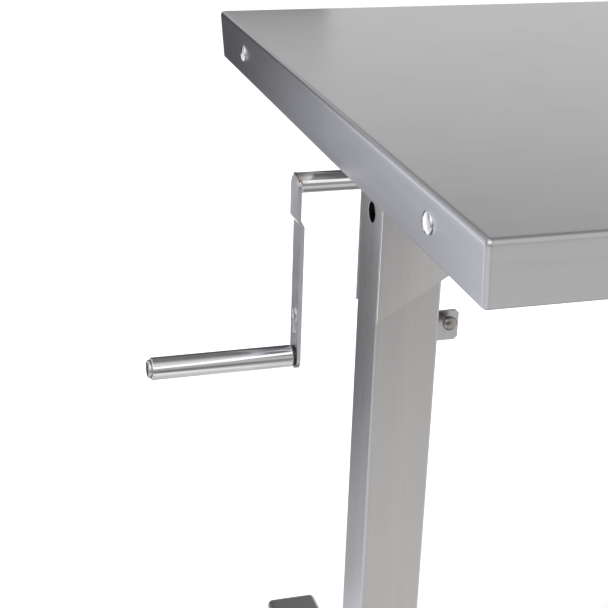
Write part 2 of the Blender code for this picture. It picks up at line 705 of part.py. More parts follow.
def make_caster(side, face, base, steel, rubber, plastic):
    name = SIDE_NAMES[side] + "_" + FACE_NAMES[face]
    swivel = empty(name + "_swivel", (leg_x(side), face * CASTER_Y, 0), base)
    pivot = Vector(swivel["place"])
    race_top = CASTER_HEIGHT - GAP
    race_low = race_top - RACE_HEIGHT
    cheek_inside = WHEEL_WIDTH / 2 + CHEEK_SPACE
    cheek_outside = cheek_inside + CHEEK_WALL
    axle_place = pivot + Vector((0, face * TRAIL, WHEEL_RADIUS))
    pedal_place = pivot + Vector((0, face * PEDAL_PIVOT_BACK, PEDAL_PIVOT_HEIGHT))

    profile = [
        (RACE_RADIUS - RACE_CHAMFER, race_low),
        (RACE_RADIUS, race_low + RACE_CHAMFER),
        (RACE_RADIUS, race_top),
        (STEM_RADIUS, race_top),
        (STEM_RADIUS, race_top + STEM_LENGTH),
    ]
    fork = new_object(name + "_fork", lathe(profile, Z_AXIS), pivot, swivel, steel)
    cheek_top = race_low + RACE_HEIGHT / 2
    cheek = [(-CHEEK_FRONT, cheek_top), (CHEEK_BACK, cheek_top)]
    cheek += arc((TRAIL, WHEEL_RADIUS), CHEEK_END_RADIUS, CHEEK_TURN, CHEEK_TURN - math.pi, CHEEK_STEPS)
    cheek = [(face * y, z) for y, z in cheek]
    for sign in (-1, 1):
        plate = prism(cheek, X_AXIS, sign * cheek_inside, sign * cheek_outside)
        join(fork, plate, pivot, swivel)
    axle_hole = AXLE_RADIUS + GAP
    cut(fork, lathe([(axle_hole, -RACE_RADIUS), (axle_hole, RACE_RADIUS)], X_AXIS), axle_place, swivel)
    pin_hole = PEDAL_PIN_RADIUS + GAP
    cut(fork, lathe([(pin_hole, -RACE_RADIUS), (pin_hole, RACE_RADIUS)], X_AXIS), pedal_place, swivel)

    head_start = cheek_outside + GAP
    axle = [
        (AXLE_HEAD_RADIUS - AXLE_CHAMFER, -head_start - AXLE_HEAD),
        (AXLE_HEAD_RADIUS, -head_start - AXLE_HEAD + AXLE_CHAMFER),
        (AXLE_HEAD_RADIUS, -head_start),
        (AXLE_RADIUS, -head_start),
        (AXLE_RADIUS, head_start),
        (AXLE_HEAD_RADIUS, head_start),
        (AXLE_HEAD_RADIUS, head_start + AXLE_HEAD - AXLE_CHAMFER),
        (AXLE_HEAD_RADIUS - AXLE_CHAMFER, head_start + AXLE_HEAD),
    ]
    new_object(name + "_axle", lathe(axle, X_AXIS), axle_place, swivel, steel)

    half = WHEEL_WIDTH / 2
    bore = AXLE_RADIUS + GAP
    hub_half = cheek_inside - GAP
    # The tread's flats, not its edges, lie on the wheel radius
    tread = WHEEL_RADIUS / math.cos(math.pi / FINE_ROUND)
    right = [
        (bore, hub_half),
        (WHEEL_HUB_RADIUS, hub_half),
        (WHEEL_HUB_RADIUS, half - WHEEL_RECESS),
        (WHEEL_RIM_RADIUS, half - WHEEL_RECESS),
        (WHEEL_RIM_RADIUS, half),
        (tread - WHEEL_CROWN, half),
        (tread, half - WHEEL_CROWN),
    ]
    left = [(radius, -along) for radius, along in reversed(right)]
    wheel = lathe(right + left, X_AXIS, closed=True, count=FINE_ROUND)
    new_object(name + "_wheel", wheel, axle_place, swivel, rubber)

    shoe_middle = TRAIL - PEDAL_PIVOT_BACK
    shoe_low = WHEEL_RADIUS * 2 + SHOE_CLEARANCE - PEDAL_PIVOT_HEIGHT
    lever = [
        (-PEDAL_PIN_RADIUS * 2, -PEDAL_WALL / 2),
        (-PEDAL_PIN_RADIUS * 2, PEDAL_WALL / 2),
        (PEDAL_REACH - PEDAL_PAD, PEDAL_WALL / 2),
        (PEDAL_REACH, PEDAL_WALL / 2 - PEDAL_DROP),
        (PEDAL_REACH, -PEDAL_WALL / 2 - PEDAL_DROP),
        (PEDAL_REACH - PEDAL_PAD, -PEDAL_WALL / 2),
        (shoe_middle + SHOE_LENGTH / 2, -PEDAL_WALL / 2),
        (shoe_middle + SHOE_LENGTH / 2, shoe_low),
        (shoe_middle - SHOE_LENGTH / 2, shoe_low),
        (shoe_middle - SHOE_LENGTH / 2, -PEDAL_WALL / 2),
    ]
    lever = [(face * y, z) for y, z in lever]
    pedal_half = cheek_inside - 2 * GAP
    shape = prism(lever, X_AXIS, -pedal_half, pedal_half)
    pedal = new_object(name + "_brake_pedal", shape, pedal_place, swivel, plastic)
    pin = lathe([(PEDAL_PIN_RADIUS, -cheek_outside), (PEDAL_PIN_RADIUS, cheek_outside)], X_AXIS)
    join(pedal, pin, pedal_place, swivel)


def make_crank(drive, steel):
    crank = empty("crank", (LEFT, 0, SHAFT_Z), drive)
    start = GAP + ARM_WALL - ARM_STAND_OFF
    end = CRANK_TUBE_END - LEFT
    bore = HEX_FLATS + 2 * GAP
    shape = loft([
        circle(CRANK_TUBE_RADIUS, start, X_AXIS, FINE_ROUND),
        circle(CRANK_TUBE_RADIUS, end, X_AXIS, FINE_ROUND),
        hexagon(bore, end, X_AXIS),
        hexagon(bore, start, X_AXIS),
    ], closed=True)
    new_object("crank_shaft", shape, crank["place"], crank, steel)
    make_arm(crank, steel)
    grip_place = Vector(crank["place"]) - Z_AXIS * CRANK_THROW
    spindle = [
        (SPINDLE_RADIUS, ARM_WALL - ARM_OUTER),
        (SPINDLE_RADIUS, -GRIP_START - GRIP_LENGTH - GAP),
        (SPINDLE_HEAD_RADIUS, -GRIP_START - GRIP_LENGTH - GAP),
        (SPINDLE_HEAD_RADIUS, -CRANK_REACH + SPINDLE_CHAMFER),
        (SPINDLE_HEAD_RADIUS - SPINDLE_CHAMFER, -CRANK_REACH),
    ]
    new_object("grip_spindle", lathe(spindle, X_AXIS), grip_place, crank, steel)
    grip = empty("grip", grip_place, crank)
    far = -GRIP_START - GRIP_LENGTH
    bore = SPINDLE_RADIUS + GAP
    sleeve = [
        (bore, -GRIP_START),
        (GRIP_RADIUS - GRIP_EDGE, -GRIP_START),
        (GRIP_RADIUS, -GRIP_START - GRIP_EDGE),
        (GRIP_RADIUS, far + GRIP_EDGE),
        (GRIP_RADIUS - GRIP_EDGE, far),
        (bore, far),
    ]
    shape = lathe(sleeve, X_AXIS, closed=True, count=FINE_ROUND)
    new_object("grip_sleeve", shape, grip_place, grip, steel)


def make_arm(crank, finish):
    half = ARM_WIDTH / 2
    bend_high = -JOGGLE_START
    bend_low = bend_high - JOGGLE_LENGTH
    crown = arc((0, CRANK_TUBE_RADIUS - half), half, math.pi, 0, ARM_STEPS)
    tail = arc((0, -CRANK_THROW), half, 0, -math.pi, ARM_STEPS)
    right_bend = [(half, bend_high), (half, bend_low)]
    left_bend = [(-half, bend_low), (-half, bend_high)]
    outline = crown + right_bend + tail + left_bend
    shape = bmesh.new()
    sheets = []
    for depth in (0, ARM_WALL):
        sheet = []
        for y, z in outline:
            x = depth - ARM_STAND_OFF
            if z <= bend_low:
                x += JOGGLE
            sheet.append(shape.verts.new((x, y, z)))
        sheets.append(sheet)
    first = len(crown)
    last = len(outline)
    for sheet in sheets:
        shape.faces.new(sheet[:first + 1] + sheet[last - 1:])
        shape.faces.new((sheet[first], sheet[first + 1], sheet[last - 2], sheet[last - 1]))
        shape.faces.new(sheet[first + 1:last - 1])
    for index in range(last):
        after = (index + 1) % last
        shape.faces.new((sheets[0][index], sheets[0][after], sheets[1][after], sheets[1][index]))
    place = crank["place"]
    arm = new_object("crank_arm", shape, place, crank, finish)
    spread = math.asin(SLOT_RADIUS / KEY_RADIUS)
    turn = math.pi / 2
    keyhole = arc((0, -KEY_DROP), KEY_RADIUS, spread - turn, math.tau - spread - turn, KEY_STEPS)
    keyhole += arc((0, -KEY_DROP - SLOT_LENGTH), SLOT_RADIUS, math.pi, math.tau, SLOT_STEPS)
    middle = ARM_WALL / 2 - ARM_OUTER
    cut(arm, prism(keyhole, X_AXIS, middle - ARM_WALL, middle + ARM_WALL), place, crank)
    hole = SPINDLE_RADIUS + GAP
    drilled = lathe([(hole, middle - ARM_WALL), (hole, middle + ARM_WALL)], X_AXIS)
    cut(arm, drilled, Vector(place) - Z_AXIS * CRANK_THROW, crank)


def make_hanger(parent, finish):
    face_x = leg_x(LEFT_SIDE) + LEG_WIDTH / 2 + GAP
    low = -TAB_HEIGHT / 2
    high = TAB_HEIGHT / 2
    outline = [(0, low)]
    outline += arc((TAB_REACH - TAB_CORNER, low + TAB_CORNER), TAB_CORNER, -math.pi / 2, 0, CORNER_STEPS)
    outline += arc((TAB_REACH - TAB_CORNER, high - TAB_CORNER), TAB_CORNER, 0, math.pi / 2, CORNER_STEPS)
    outline += [(0, high)]
    place = Vector((face_x, 0, APRON_EDGE - TAB_DROP))
    new_object("hanger_tab", prism(outline, Y_AXIS, -TAB_WALL / 2, TAB_WALL / 2), place, parent, finish)
    root = TAB_WALL / 2 + GAP
    neck_end = root + STUD_NECK_LENGTH
    profile = [
        (STUD_NECK_RADIUS, root),
        (STUD_NECK_RADIUS, neck_end),
        (STUD_HEAD_RADIUS - STUD_EDGE, neck_end),
        (STUD_HEAD_RADIUS, neck_end + STUD_EDGE),
    ]
    profile += dome(STUD_HEAD_RADIUS, STUD_HEAD / 2, neck_end + STUD_HEAD / 2)
    stud_place = place + X_AXIS * STUD_REACH + Z_AXIS * STUD_RISE
    new_object("hanger_stud", lathe(profile, -Y_AXIS), stud_place, parent, finish)


def main():
    clear_scene()
    steel = material("brushed_stainless", (0.60, 0.60, 0.61), 1.0, 0.34)
    polished = material("polished_stainless", (0.66, 0.66, 0.66), 1.0, 0.20)
    brass = material("bronze", (0.62, 0.45, 0.22), 1.0, 0.40)
    plastic = material("black_plastic", (0.04, 0.04, 0.045), 0.0, 0.50)
    rubber = material("grey_rubber", (0.20, 0.20, 0.21), 0.0, 0.65)
    zinc = material("zinc_plate", (0.58, 0.59, 0.61), 1.0, 0.30)

    base = empty("base", (CENTRE_X, 0, 0))
    lift = empty("lift", (CENTRE_X, 0, TOP_HEIGHT), base)
    drive = empty("drive", (leg_x(LEFT_SIDE), 0, SHAFT_Z), lift)

    make_tabletop(lift, steel)
    make_channels(lift, steel)
    make_rivets(lift, polished)
    for side in SIDE_NAMES:
        make_outer_leg(side, lift, steel)
        make_gussets(side, lift, steel)
        make_glide(side, lift, plastic)
        make_bearing_block(side, lift, plastic)
        make_pinion(side, drive, zinc)
        screw = empty(SIDE_NAMES[side] + "_screw", (leg_x(side), 0, SHAFT_Z), lift)
        make_screw(side, screw, zinc, brass)
        make_inner_leg(side, base, steel)
        make_lift_nut(side, base, brass)
        make_foot(side, base, steel)
        for face in FACE_NAMES:
            make_caster(side, face, base, zinc, rubber, plastic)
    make_stretcher(base, steel)
    left_leg = leg_x(LEFT_SIDE)
    right_leg = leg_x(RIGHT_SIDE)
    make_bush("left_outer_bush", left_leg - LEG_WIDTH / 2, -1, lift, brass)
    make_bush("left_inner_bush", left_leg + LEG_WIDTH / 2, 1, lift, brass)
    make_bush("right_inner_bush", right_leg - LEG_WIDTH / 2, -1, lift, brass)
    make_drive_shaft(drive, zinc)
    make_crank(drive, polished)
    make_hanger(lift, polished)


main()
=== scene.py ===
import json
import math

import bmesh
import bpy
from mathutils import Matrix, Vector

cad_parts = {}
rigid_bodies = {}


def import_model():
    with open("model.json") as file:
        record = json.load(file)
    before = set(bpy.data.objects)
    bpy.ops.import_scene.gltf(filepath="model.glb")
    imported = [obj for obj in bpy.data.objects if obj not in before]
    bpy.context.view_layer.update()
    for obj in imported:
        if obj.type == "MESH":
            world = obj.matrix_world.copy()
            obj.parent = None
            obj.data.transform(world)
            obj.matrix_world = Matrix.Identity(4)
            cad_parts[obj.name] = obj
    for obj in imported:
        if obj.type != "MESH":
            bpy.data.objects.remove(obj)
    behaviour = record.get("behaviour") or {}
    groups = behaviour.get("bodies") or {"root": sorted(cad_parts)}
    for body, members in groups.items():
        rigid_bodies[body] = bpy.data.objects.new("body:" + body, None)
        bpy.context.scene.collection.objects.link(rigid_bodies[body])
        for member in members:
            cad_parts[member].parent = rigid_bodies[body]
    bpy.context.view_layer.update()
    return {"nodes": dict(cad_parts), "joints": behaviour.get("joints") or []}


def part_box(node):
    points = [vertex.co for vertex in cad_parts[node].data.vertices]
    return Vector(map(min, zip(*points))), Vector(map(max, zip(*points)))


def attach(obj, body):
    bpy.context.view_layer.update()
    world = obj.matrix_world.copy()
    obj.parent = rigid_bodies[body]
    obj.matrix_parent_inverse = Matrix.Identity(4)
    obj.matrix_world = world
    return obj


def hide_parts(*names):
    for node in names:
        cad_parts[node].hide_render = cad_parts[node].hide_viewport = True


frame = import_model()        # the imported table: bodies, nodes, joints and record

xAxis = Vector((1, 0, 0))
yAxis = Vector((0, 1, 0))
zAxis = Vector((0, 0, 1))
quarter = math.pi / 2
sides = {"left": -1, "right": 1}
faces = {"front": -1, "rear": 1}


# Mesh tools, in metres

def arcPoints(centre, radius, start, end, steps):
    points = []
    for step in range(steps + 1):
        angle = start + (end - start) * step / steps
        points.append((centre[0] + radius * math.cos(angle), centre[1] + radius * math.sin(angle)))
    return points


def unitArc(start, end, steps):  # as (across, rise)
    return arcPoints((0, 0), 1, start, end, steps)


def roundRing(width, depth, radius, height, steps):
    ring = []
    for turn, (sx, sy) in enumerate(((1, 1), (-1, 1), (-1, -1), (1, -1))):
        centre = (sx * (width / 2 - radius), sy * (depth / 2 - radius))
        for x, y in arcPoints(centre, radius, quarter * turn, quarter * (turn + 1), steps):
            ring.append(Vector((x, y, height)))
    return ring


def circleRing(radius, along, axis, count, flats=0):
    first = xAxis if axis.z else zAxis
    second = axis.cross(first)
    ring = []
    for step in range(count):
        angle = math.tau * (step + 0.5) / count
        reach = radius
        if flats:  # a polygon measured across its flats, drawn with the same count of points
            sector = math.tau / flats
            reach = radius / math.cos(angle % sector - sector / 2)
        ring.append(axis * along + (first * math.cos(angle) + second * math.sin(angle)) * reach)
    return ring


def loft(rings, closed=False):
    shape = bmesh.new()
    loops = [[shape.verts.new(point) for point in ring] for ring in rings]
    pairs = list(zip(loops, loops[1:]))
    if closed:
        pairs.append((loops[-1], loops[0]))
    else:
        shape.faces.new(loops[0])
        shape.faces.new(loops[-1])
    for near, far in pairs:
        for here in range(len(near)):
            after = (here + 1) % len(near)
            shape.faces.new((near[here], near[after], far[after], far[here]))
    return shape


def lathe(profile, axis=zAxis, count=48, closed=False):  # profile is (reach, along)
    return loft([circleRing(reach, along, axis, count) for reach, along in profile], closed)


def rod(radius, half, axis, count):  # plain round bar about its middle, mostly for drilling
    return lathe([(radius, -half), (radius, half)], axis, count)


def mirrored(profile):  # carried on to the other end, for a closed lathe
    return profile + [(reach, -along) for reach, along in reversed(profile)]


def prism(outline, axis, low, high):  # outline is (across, up)
    across = yAxis if axis.x else xAxis
    rings = []
    for along in (low, high):
        rings.append([axis * along + across * point[0] + zAxis * point[1] for point in outline])
    return loft(rings)


def roundedTube(width, depth, wall, corner, low, high, steps=6):
    inner = max(corner - wall, wall / 4)
    return loft([
        roundRing(width, depth, corner, low, steps),
        roundRing(width, depth, corner, high, steps),
        roundRing(width - 2 * wall, depth - 2 * wall, inner, high, steps),
        roundRing(width - 2 * wall, depth - 2 * wall, inner, low, steps),
    ], closed=True)


def sweep(points, radius, count=10, ripple=0.0, pitch=0.003, closed=False, steep=0.9):
    rings = []
    travelled = 0.0
    total = len(points)
    for here, point in enumerate(points):
        after = points[(here + 1) % total] if closed or here + 1 < total else point
        before = points[here - 1] if closed or here else point
        ahead = (after - before).normalized()
        side = ahead.cross(zAxis if abs(ahead.z) < steep else xAxis).normalized()
        up = side.cross(ahead)
        if here:
            travelled += (point - points[here - 1]).length
        swell = radius * (1 - ripple * abs(math.sin(math.pi * travelled / pitch)))
        ring = []
        for step in range(count):
            angle = math.tau * step / count
            ring.append(point + (side * math.cos(angle) + up * math.sin(angle)) * swell)
        rings.append(ring)
    return loft(rings, closed)


def finer(points, spacing, closed=False):  # extra points along straight runs
    dense = []
    ends = points[1:] + points[:1] if closed else points[1:]
    for start, end in zip(points, ends):
        steps = max(1, round((end - start).length / spacing))
        for step in range(steps):
            dense.append(start.lerp(end, step / steps))
    if not closed:
        dense.append(points[-1])
    return dense


def turned(shape, rows):  # swaps axes: rows are the new directions of x, y and z
    bmesh.ops.transform(shape, matrix=Matrix(rows).transposed().to_4x4(), verts=shape.verts)
    return shape


def moved(shape, place):
    bmesh.ops.translate(shape, vec=Vector(place), verts=shape.verts)
    return shape


def merged(*shapes):
    first = shapes[0]
    for other in shapes[1:]:
        lump = bpy.data.meshes.new("lump")
        other.to_mesh(lump)
        other.free()
        first.from_mesh(lump)
        bpy.data.meshes.remove(lump)
    return first


def loose(shape):
    bmesh.ops.recalc_face_normals(shape, faces=shape.faces)
    mesh = bpy.data.meshes.new("loose")
    shape.to_mesh(mesh)
    shape.free()
    item = bpy.data.objects.new("loose", mesh)
    bpy.context.scene.collection.objects.link(item)
    return item


def carve(shape, *tools, operation="DIFFERENCE"):
    blank = loose(shape)
    cutters = [loose(tool) for tool in tools]
    for cutter in cutters:
        step = blank.modifiers.new("carve", "BOOLEAN")
        step.operation = operation
        step.solver = "EXACT"
        step.object = cutter
    graph = bpy.context.evaluated_depsgraph_get()
    mesh = bpy.data.meshes.new_from_object(blank.evaluated_get(graph))
    result = bmesh.new()
    result.from_mesh(mesh)
    for item in (blank, *cutters):
        spent = item.data
        bpy.data.objects.remove(item)
        bpy.data.meshes.remove(spent)
    bpy.data.meshes.remove(mesh)
    return result


def roundEdges(item, width, angle=40, segments=3):
    bevel = item.modifiers.new("edges", "BEVEL")
    bevel.width = width
    bevel.segments = segments
    bevel.limit_method = "ANGLE"
    bevel.angle_limit = math.radians(angle)
    bevel.miter_outer = "MITER_ARC"


def evenNormals(item):
    item.modifiers.new("normals", "WEIGHTED_NORMAL").keep_sharp = True


def piece(name, shape, place, body, skin, stands=(), edge=0.0, sharp=35):
    item = loose(shape)
    item.name = name
    item.data.name = name
    item.location = place
    item.data.materials.append(skin)
    item.data.shade_smooth()
    if edge:
        roundEdges(item, edge)
    else:
        item.data.set_sharp_from_angle(angle=math.radians(sharp))
    evenNormals(item)
    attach(item, body)
    if stands:
        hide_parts(*stands)


def dress(node, skin, edge, joined=0.00001):  # a node whose shape is kept
    item = frame["nodes"][node]
    item.data.materials.clear()
    item.data.materials.append(skin)
    item.modifiers.new("weld", "WELD").merge_threshold = joined
    roundEdges(item, edge, segments=2)
    evenNormals(item)


def middle(node):
    low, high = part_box(node)
    return (low + high) / 2


# Finishes: sockets with arithmetic, and one method for every other node

class Wire:
    def __init__(self, bench, socket):
        self.bench = bench
        self.socket = socket

    def __add__(self, other):
        return self.bench.maths("ADD", self, other)

    def __radd__(self, other):
        return self.bench.maths("ADD", other, self)

    def __sub__(self, other):
        return self.bench.maths("SUBTRACT", self, other)

    def __rsub__(self, other):
        return self.bench.maths("SUBTRACT", other, self)

    def __mul__(self, other):
        return self.bench.maths("MULTIPLY", self, other)

    def __rmul__(self, other):
        return self.bench.maths("MULTIPLY", other, self)

    def __pow__(self, other):
        return self.bench.maths("POWER", self, other)

    def __rpow__(self, other):
        return self.bench.maths("POWER", other, self)

    def __abs__(self):
        return self.bench.maths("ABSOLUTE", self)


class Bench:
    def __init__(self, tree):
        self.tree = tree

    def node(self, kind, settings=None, inputs=None, output=0):
        made = self.tree.nodes.new(kind)
        for key, value in (settings or {}).items():
            setattr(made, key, value)
        for key, value in (inputs or {}).items():
            self.feed(made.inputs[key], value)
        return Wire(self, made.outputs[output])

    def feed(self, socket, value):
        if isinstance(value, Wire):
            self.tree.links.new(value.socket, socket)
        else:
            socket.default_value = value

    def maths(self, operation, *values):
        return self.node("ShaderNodeMath", {"operation": operation}, dict(enumerate(values)))

    def vectors(self, operation, *values, output=0):
        inputs = dict(enumerate(values))
        return self.node("ShaderNodeVectorMath", {"operation": operation}, inputs, output)

    def mix(self, factor, first, second):  # two colours
        inputs = {0: factor, 6: first, 7: second}
        return self.node("ShaderNodeMix", {"data_type": "RGBA"}, inputs, 2)

    def ease(self, value, start, end, low=0.0, high=1.0):  # smooth step
        settings = {"interpolation_type": "SMOOTHSTEP"}
        inputs = {0: value, 1: start, 2: end, 3: low, 4: high}
        return self.node("ShaderNodeMapRange", settings, inputs)

    def parts(self, vector):
        split = self.node("ShaderNodeSeparateXYZ", None, {0: vector})
        outputs = split.socket.node.outputs
        return [Wire(self, outputs[at]) for at in range(3)]


class Finish(Bench):
    def __init__(self, name):
        self.skin = bpy.data.materials.new(name)
        self.skin.use_nodes = True
        super().__init__(self.skin.node_tree)
        self.shader = self.tree.nodes["Principled BSDF"]
        self.place = self.node("ShaderNodeTexCoord", output="Object")

    def noise(self, scale, detail=3.0, rough=0.5, place=None):
        inputs = {"Vector": place or self.place, "Scale": scale, "Detail": detail, "Roughness": rough}
        return self.node("ShaderNodeTexNoise", None, inputs)

    def drawn(self, axis, along, across):  # noise stretched on one axis
        scale = [across] * 3
        scale["xyz".index(axis)] = along
        return self.noise(scale=1.0, detail=2.0, place=self.vectors("MULTIPLY", self.place, scale))

    def patches(self, scale, detail, rough, start, end):  # noise cut to soft islands
        return self.ease(self.noise(scale, detail, rough), start, end)

    def bump(self, height, strength, distance=0.0002, under=None):
        inputs = {"Height": height, "Strength": strength, "Distance": distance}
        if under:
            inputs["Normal"] = under
        return self.node("ShaderNodeBump", None, inputs)

    def show(self, **sockets):  # Base_Color and so on
        for key, value in sockets.items():
            self.feed(self.shader.inputs[key.replace("_", " ")], value)
        return self.skin


# A noise is (scale, detail, roughness), and patches add where their islands start and end

brushed = {
    "dark": (0.574, 0.574, 0.575), "light": (0.623, 0.623, 0.623),
    "cool": (0.995, 0.996, 1.012), "warm": (1.040, 1.030, 1.015),
    "sheet": 0.29, "tube": 0.28, "spread": 0.05, "smear": 0.015,  # roughness, and how far it strays
    "along": 9.0, "across": 1500.0, "broadAlong": 3.0, "broad": 130.0, "depth": 0.018,  # the grain
    "cloud": (7.0, 4.0, 0.6), "cloudShare": 0.25, "tone": (0.3, 0.7),
    "smears": (28.0, 3.0, 0.5, 0.5, 0.75), "endFace": (0.65, 0.75),
}


def grainAlong(finish, axis):
    fine = finish.drawn(axis, brushed["along"], brushed["across"])
    broad = finish.drawn(axis, brushed["broadAlong"], brushed["broad"])
    return (fine + broad) * 0.5


def brushedSteel(name, axis, endAxis=None, stock="sheet", tint="cool", bow=0.0, nod=0.0):
    finish = Finish(name)
    grain = grainAlong(finish, axis)
    if endAxis:  # faces that look along X are brushed along their own length
        outward = finish.node("ShaderNodeTexCoord", output="Normal")
        facing = finish.ease(abs(finish.parts(outward)[0]), *brushed["endFace"])
        grain = grain * (1 - facing) + grainAlong(finish, endAxis) * facing
    share = brushed["cloudShare"]
    mottle = grain * (1 - share) + finish.noise(*brushed["cloud"]) * share
    smear = finish.patches(*brushed["smears"])
    rough = brushed[stock] + brushed["spread"] * (grain - 0.5) + brushed["smear"] * smear
    normal = finish.bump(grain, brushed["depth"])
    if bow:  # faces crowned a little by drawing and welding
        x, y, z = finish.parts(finish.place)
        height = (x * x + y * y) * -bow + z * nod
        normal = finish.bump(height, strength=1.0, distance=1.0, under=normal)
    shades = []
    for key in ("dark", "light"):
        shades.append((*[shade * part for shade, part in zip(brushed[key], brushed[tint])], 1))
    colour = finish.mix(finish.ease(mottle, *brushed["tone"]), *shades)
    return finish.show(Base_Color=colour, Metallic=1.0, Roughness=rough, Normal=normal)


polished = {
    "dark": (0.60, 0.60, 0.605, 1), "light": (0.70, 0.70, 0.70, 1),
    "bright": (0.80, 0.80, 0.805, 1), "brightest": (0.88, 0.88, 0.88, 1),
    "dull": (0.33, 0.315, 0.295, 1), "dullest": (0.44, 0.425, 0.40, 1),
    "marks": 2600.0, "lines": 1800.0, "drawn": 14.0, "grain": (900.0, 2.0),
    "hands": (55.0, 4.0, 0.6, 0.48, 0.72),  # faint marks left by hands
    "tube": {"roughness": 0.095, "spread": 0.04, "hands": 0.06, "depth": 0.03},
    "bar": {"roughness": 0.27, "spread": 0.06, "hands": 0.08, "depth": 0.04},
    "dome": {"roughness": 0.13, "spread": 0.05, "hands": 0.06, "depth": 0.02},
}
heat = {
    "tint": (0.36, 0.27, 0.21, 1), "share": 0.7, "reach": 0.009, "top": 0.006,
    "ragged": 0.02, "patch": (110.0, 2.0),
}


def polishedMetal(finish, form, relief, colour):
    made = polished[form]
    rough = made["roughness"] + made["spread"] * relief + made["hands"] * finish.patches(*polished["hands"])
    normal = finish.bump(relief, made["depth"])
    return finish.show(Base_Color=colour, Metallic=1.0, Roughness=rough, Normal=normal)


def turnedSteel(name, heated=False, dark="dark", light="light"):
    finish = Finish(name)
    marks = finish.drawn("x", polished["marks"], polished["drawn"])
    colour = finish.mix(marks, polished[dark], polished[light])
    if heated:  # brown bloom beside the weld, strongest on top
        along, _, up = finish.parts(finish.place)
        ragged = (finish.noise(*heat["patch"]) - 0.5) * heat["ragged"]
        bloom = finish.ease(along, heat["reach"], 0.0) * finish.ease(up + ragged, 0.0, heat["top"])
        colour = finish.mix(bloom * heat["share"], colour, heat["tint"])
    return polishedMetal(finish, "tube", marks, colour)


def polishedBar(name, axis):
    finish = Finish(name)
    lines = finish.drawn(axis, polished["drawn"], polished["lines"])
    return polishedMetal(finish, "bar", lines, finish.mix(lines, polished["dark"], polished["light"]))


def polishedDome(name):
    finish = Finish(name)
    grain = finish.noise(*polished["grain"])
    colour = finish.mix(grain, polished["bright"], polished["brightest"])
    return polishedMetal(finish, "dome", grain, colour)


welded = {
    "clean": (0.50, 0.49, 0.48, 1), "tint": (0.40, 0.30, 0.20, 1), "tinted": (90.0, 3.0, 0.5, 0.42, 0.68),
    "roughness": 0.34, "spread": 0.18, "grit": 1400.0, "depth": 0.2,
}


def weldMetal(name):
    finish = Finish(name)
    grit = finish.noise(welded["grit"])
    return finish.show(
        Base_Color=finish.mix(finish.patches(*welded["tinted"]), welded["clean"], welded["tint"]),
        Metallic=1.0,
        Roughness=welded["roughness"] + welded["spread"] * grit,
        Normal=finish.bump(grit, welded["depth"]),
    )


zinc = {
    "dark": (0.43, 0.44, 0.46, 1), "light": (0.60, 0.61, 0.63, 1), "spangle": 420.0, "spangleShare": 0.35,
    "haze": (60.0, 4.0, 0.6), "grit": (2200.0, 2.0), "depth": 0.08,
    "roughness": 0.30, "hazeRough": 0.16, "spangleRough": 0.05,
}


def zincPlate(name):
    finish = Finish(name)
    inputs = {"Vector": finish.place, "Scale": zinc["spangle"]}
    spangle = finish.parts(finish.node("ShaderNodeTexVoronoi", None, inputs, "Color"))[0]
    haze = finish.noise(*zinc["haze"])
    share = zinc["spangleShare"]
    return finish.show(
        Base_Color=finish.mix(spangle * share + haze * (1 - share), zinc["dark"], zinc["light"]),
        Metallic=1.0,
        Roughness=zinc["roughness"] + zinc["hazeRough"] * haze + zinc["spangleRough"] * spangle,
        Normal=finish.bump(finish.noise(*zinc["grit"]), zinc["depth"]),
    )


bronze = {
    "dark": (0.42, 0.28, 0.13, 1), "light": (0.68, 0.49, 0.25, 1), "tarnish": (120.0, 4.0, 0.65, 0.35, 0.7),
    "rings": 2600.0, "waver": 40.0, "depth": 0.12, "roughness": 0.28, "tarnishRough": 0.2, "ringRough": 0.06,
}


def turnedBronze(name):
    finish = Finish(name)
    up = finish.parts(finish.place)[2]
    level = up * bronze["rings"] + finish.noise(bronze["waver"])
    rings = finish.noise(scale=1.0, detail=1.0, place=level)
    tarnish = finish.patches(*bronze["tarnish"])
    return finish.show(
        Base_Color=finish.mix(tarnish, bronze["light"], bronze["dark"]),
        Metallic=1.0,
        Roughness=bronze["roughness"] + bronze["tarnishRough"] * tarnish + bronze["ringRough"] * rings,
        Normal=finish.bump(rings, bronze["depth"]),
    )


plastic = {
    "deep": (0.018, 0.018, 0.020, 1), "worn": (0.060, 0.060, 0.063, 1),
    "scuffs": (75.0, 5.0, 0.65, 0.5, 0.75), "pebble": 1100.0, "depth": 0.22, "roughness": 0.42, "spread": 0.2,
}


def mouldedPlastic(name):
    finish = Finish(name)
    inputs = {"Vector": finish.place, "Scale": plastic["pebble"]}
    pebble = finish.node("ShaderNodeTexVoronoi", {"feature": "SMOOTH_F1"}, inputs)
    scuff = finish.patches(*plastic["scuffs"])
    return finish.show(
        Base_Color=finish.mix(scuff, plastic["deep"], plastic["worn"]),
        Roughness=plastic["roughness"] + plastic["spread"] * scuff,
        Normal=finish.bump(pebble, plastic["depth"]),
    )


rubber = {
    "clean": (0.155, 0.157, 0.160, 1), "dusty": (0.30, 0.295, 0.285, 1), "dust": (260.0, 4.0, 0.7, 0.35, 0.7),
    "tread": (0.033, 0.038), "pores": (1500.0, 2.0), "depth": 0.18, "roughness": 0.58, "spread": 0.2,
}


def tyreRubber(name):
    finish = Finish(name)
    _, y, z = finish.parts(finish.place)
    tread = finish.ease((y * y + z * z) ** 0.5, *rubber["tread"])  # dust sits where the wheel rolls
    dust = tread * finish.patches(*rubber["dust"])
    return finish.show(
        Base_Color=finish.mix(dust, rubber["clean"], rubber["dusty"]),
        Roughness=rubber["roughness"] + rubber["spread"] * dust,
        Normal=finish.bump(finish.noise(*rubber["pores"]), rubber["depth"]),
    )


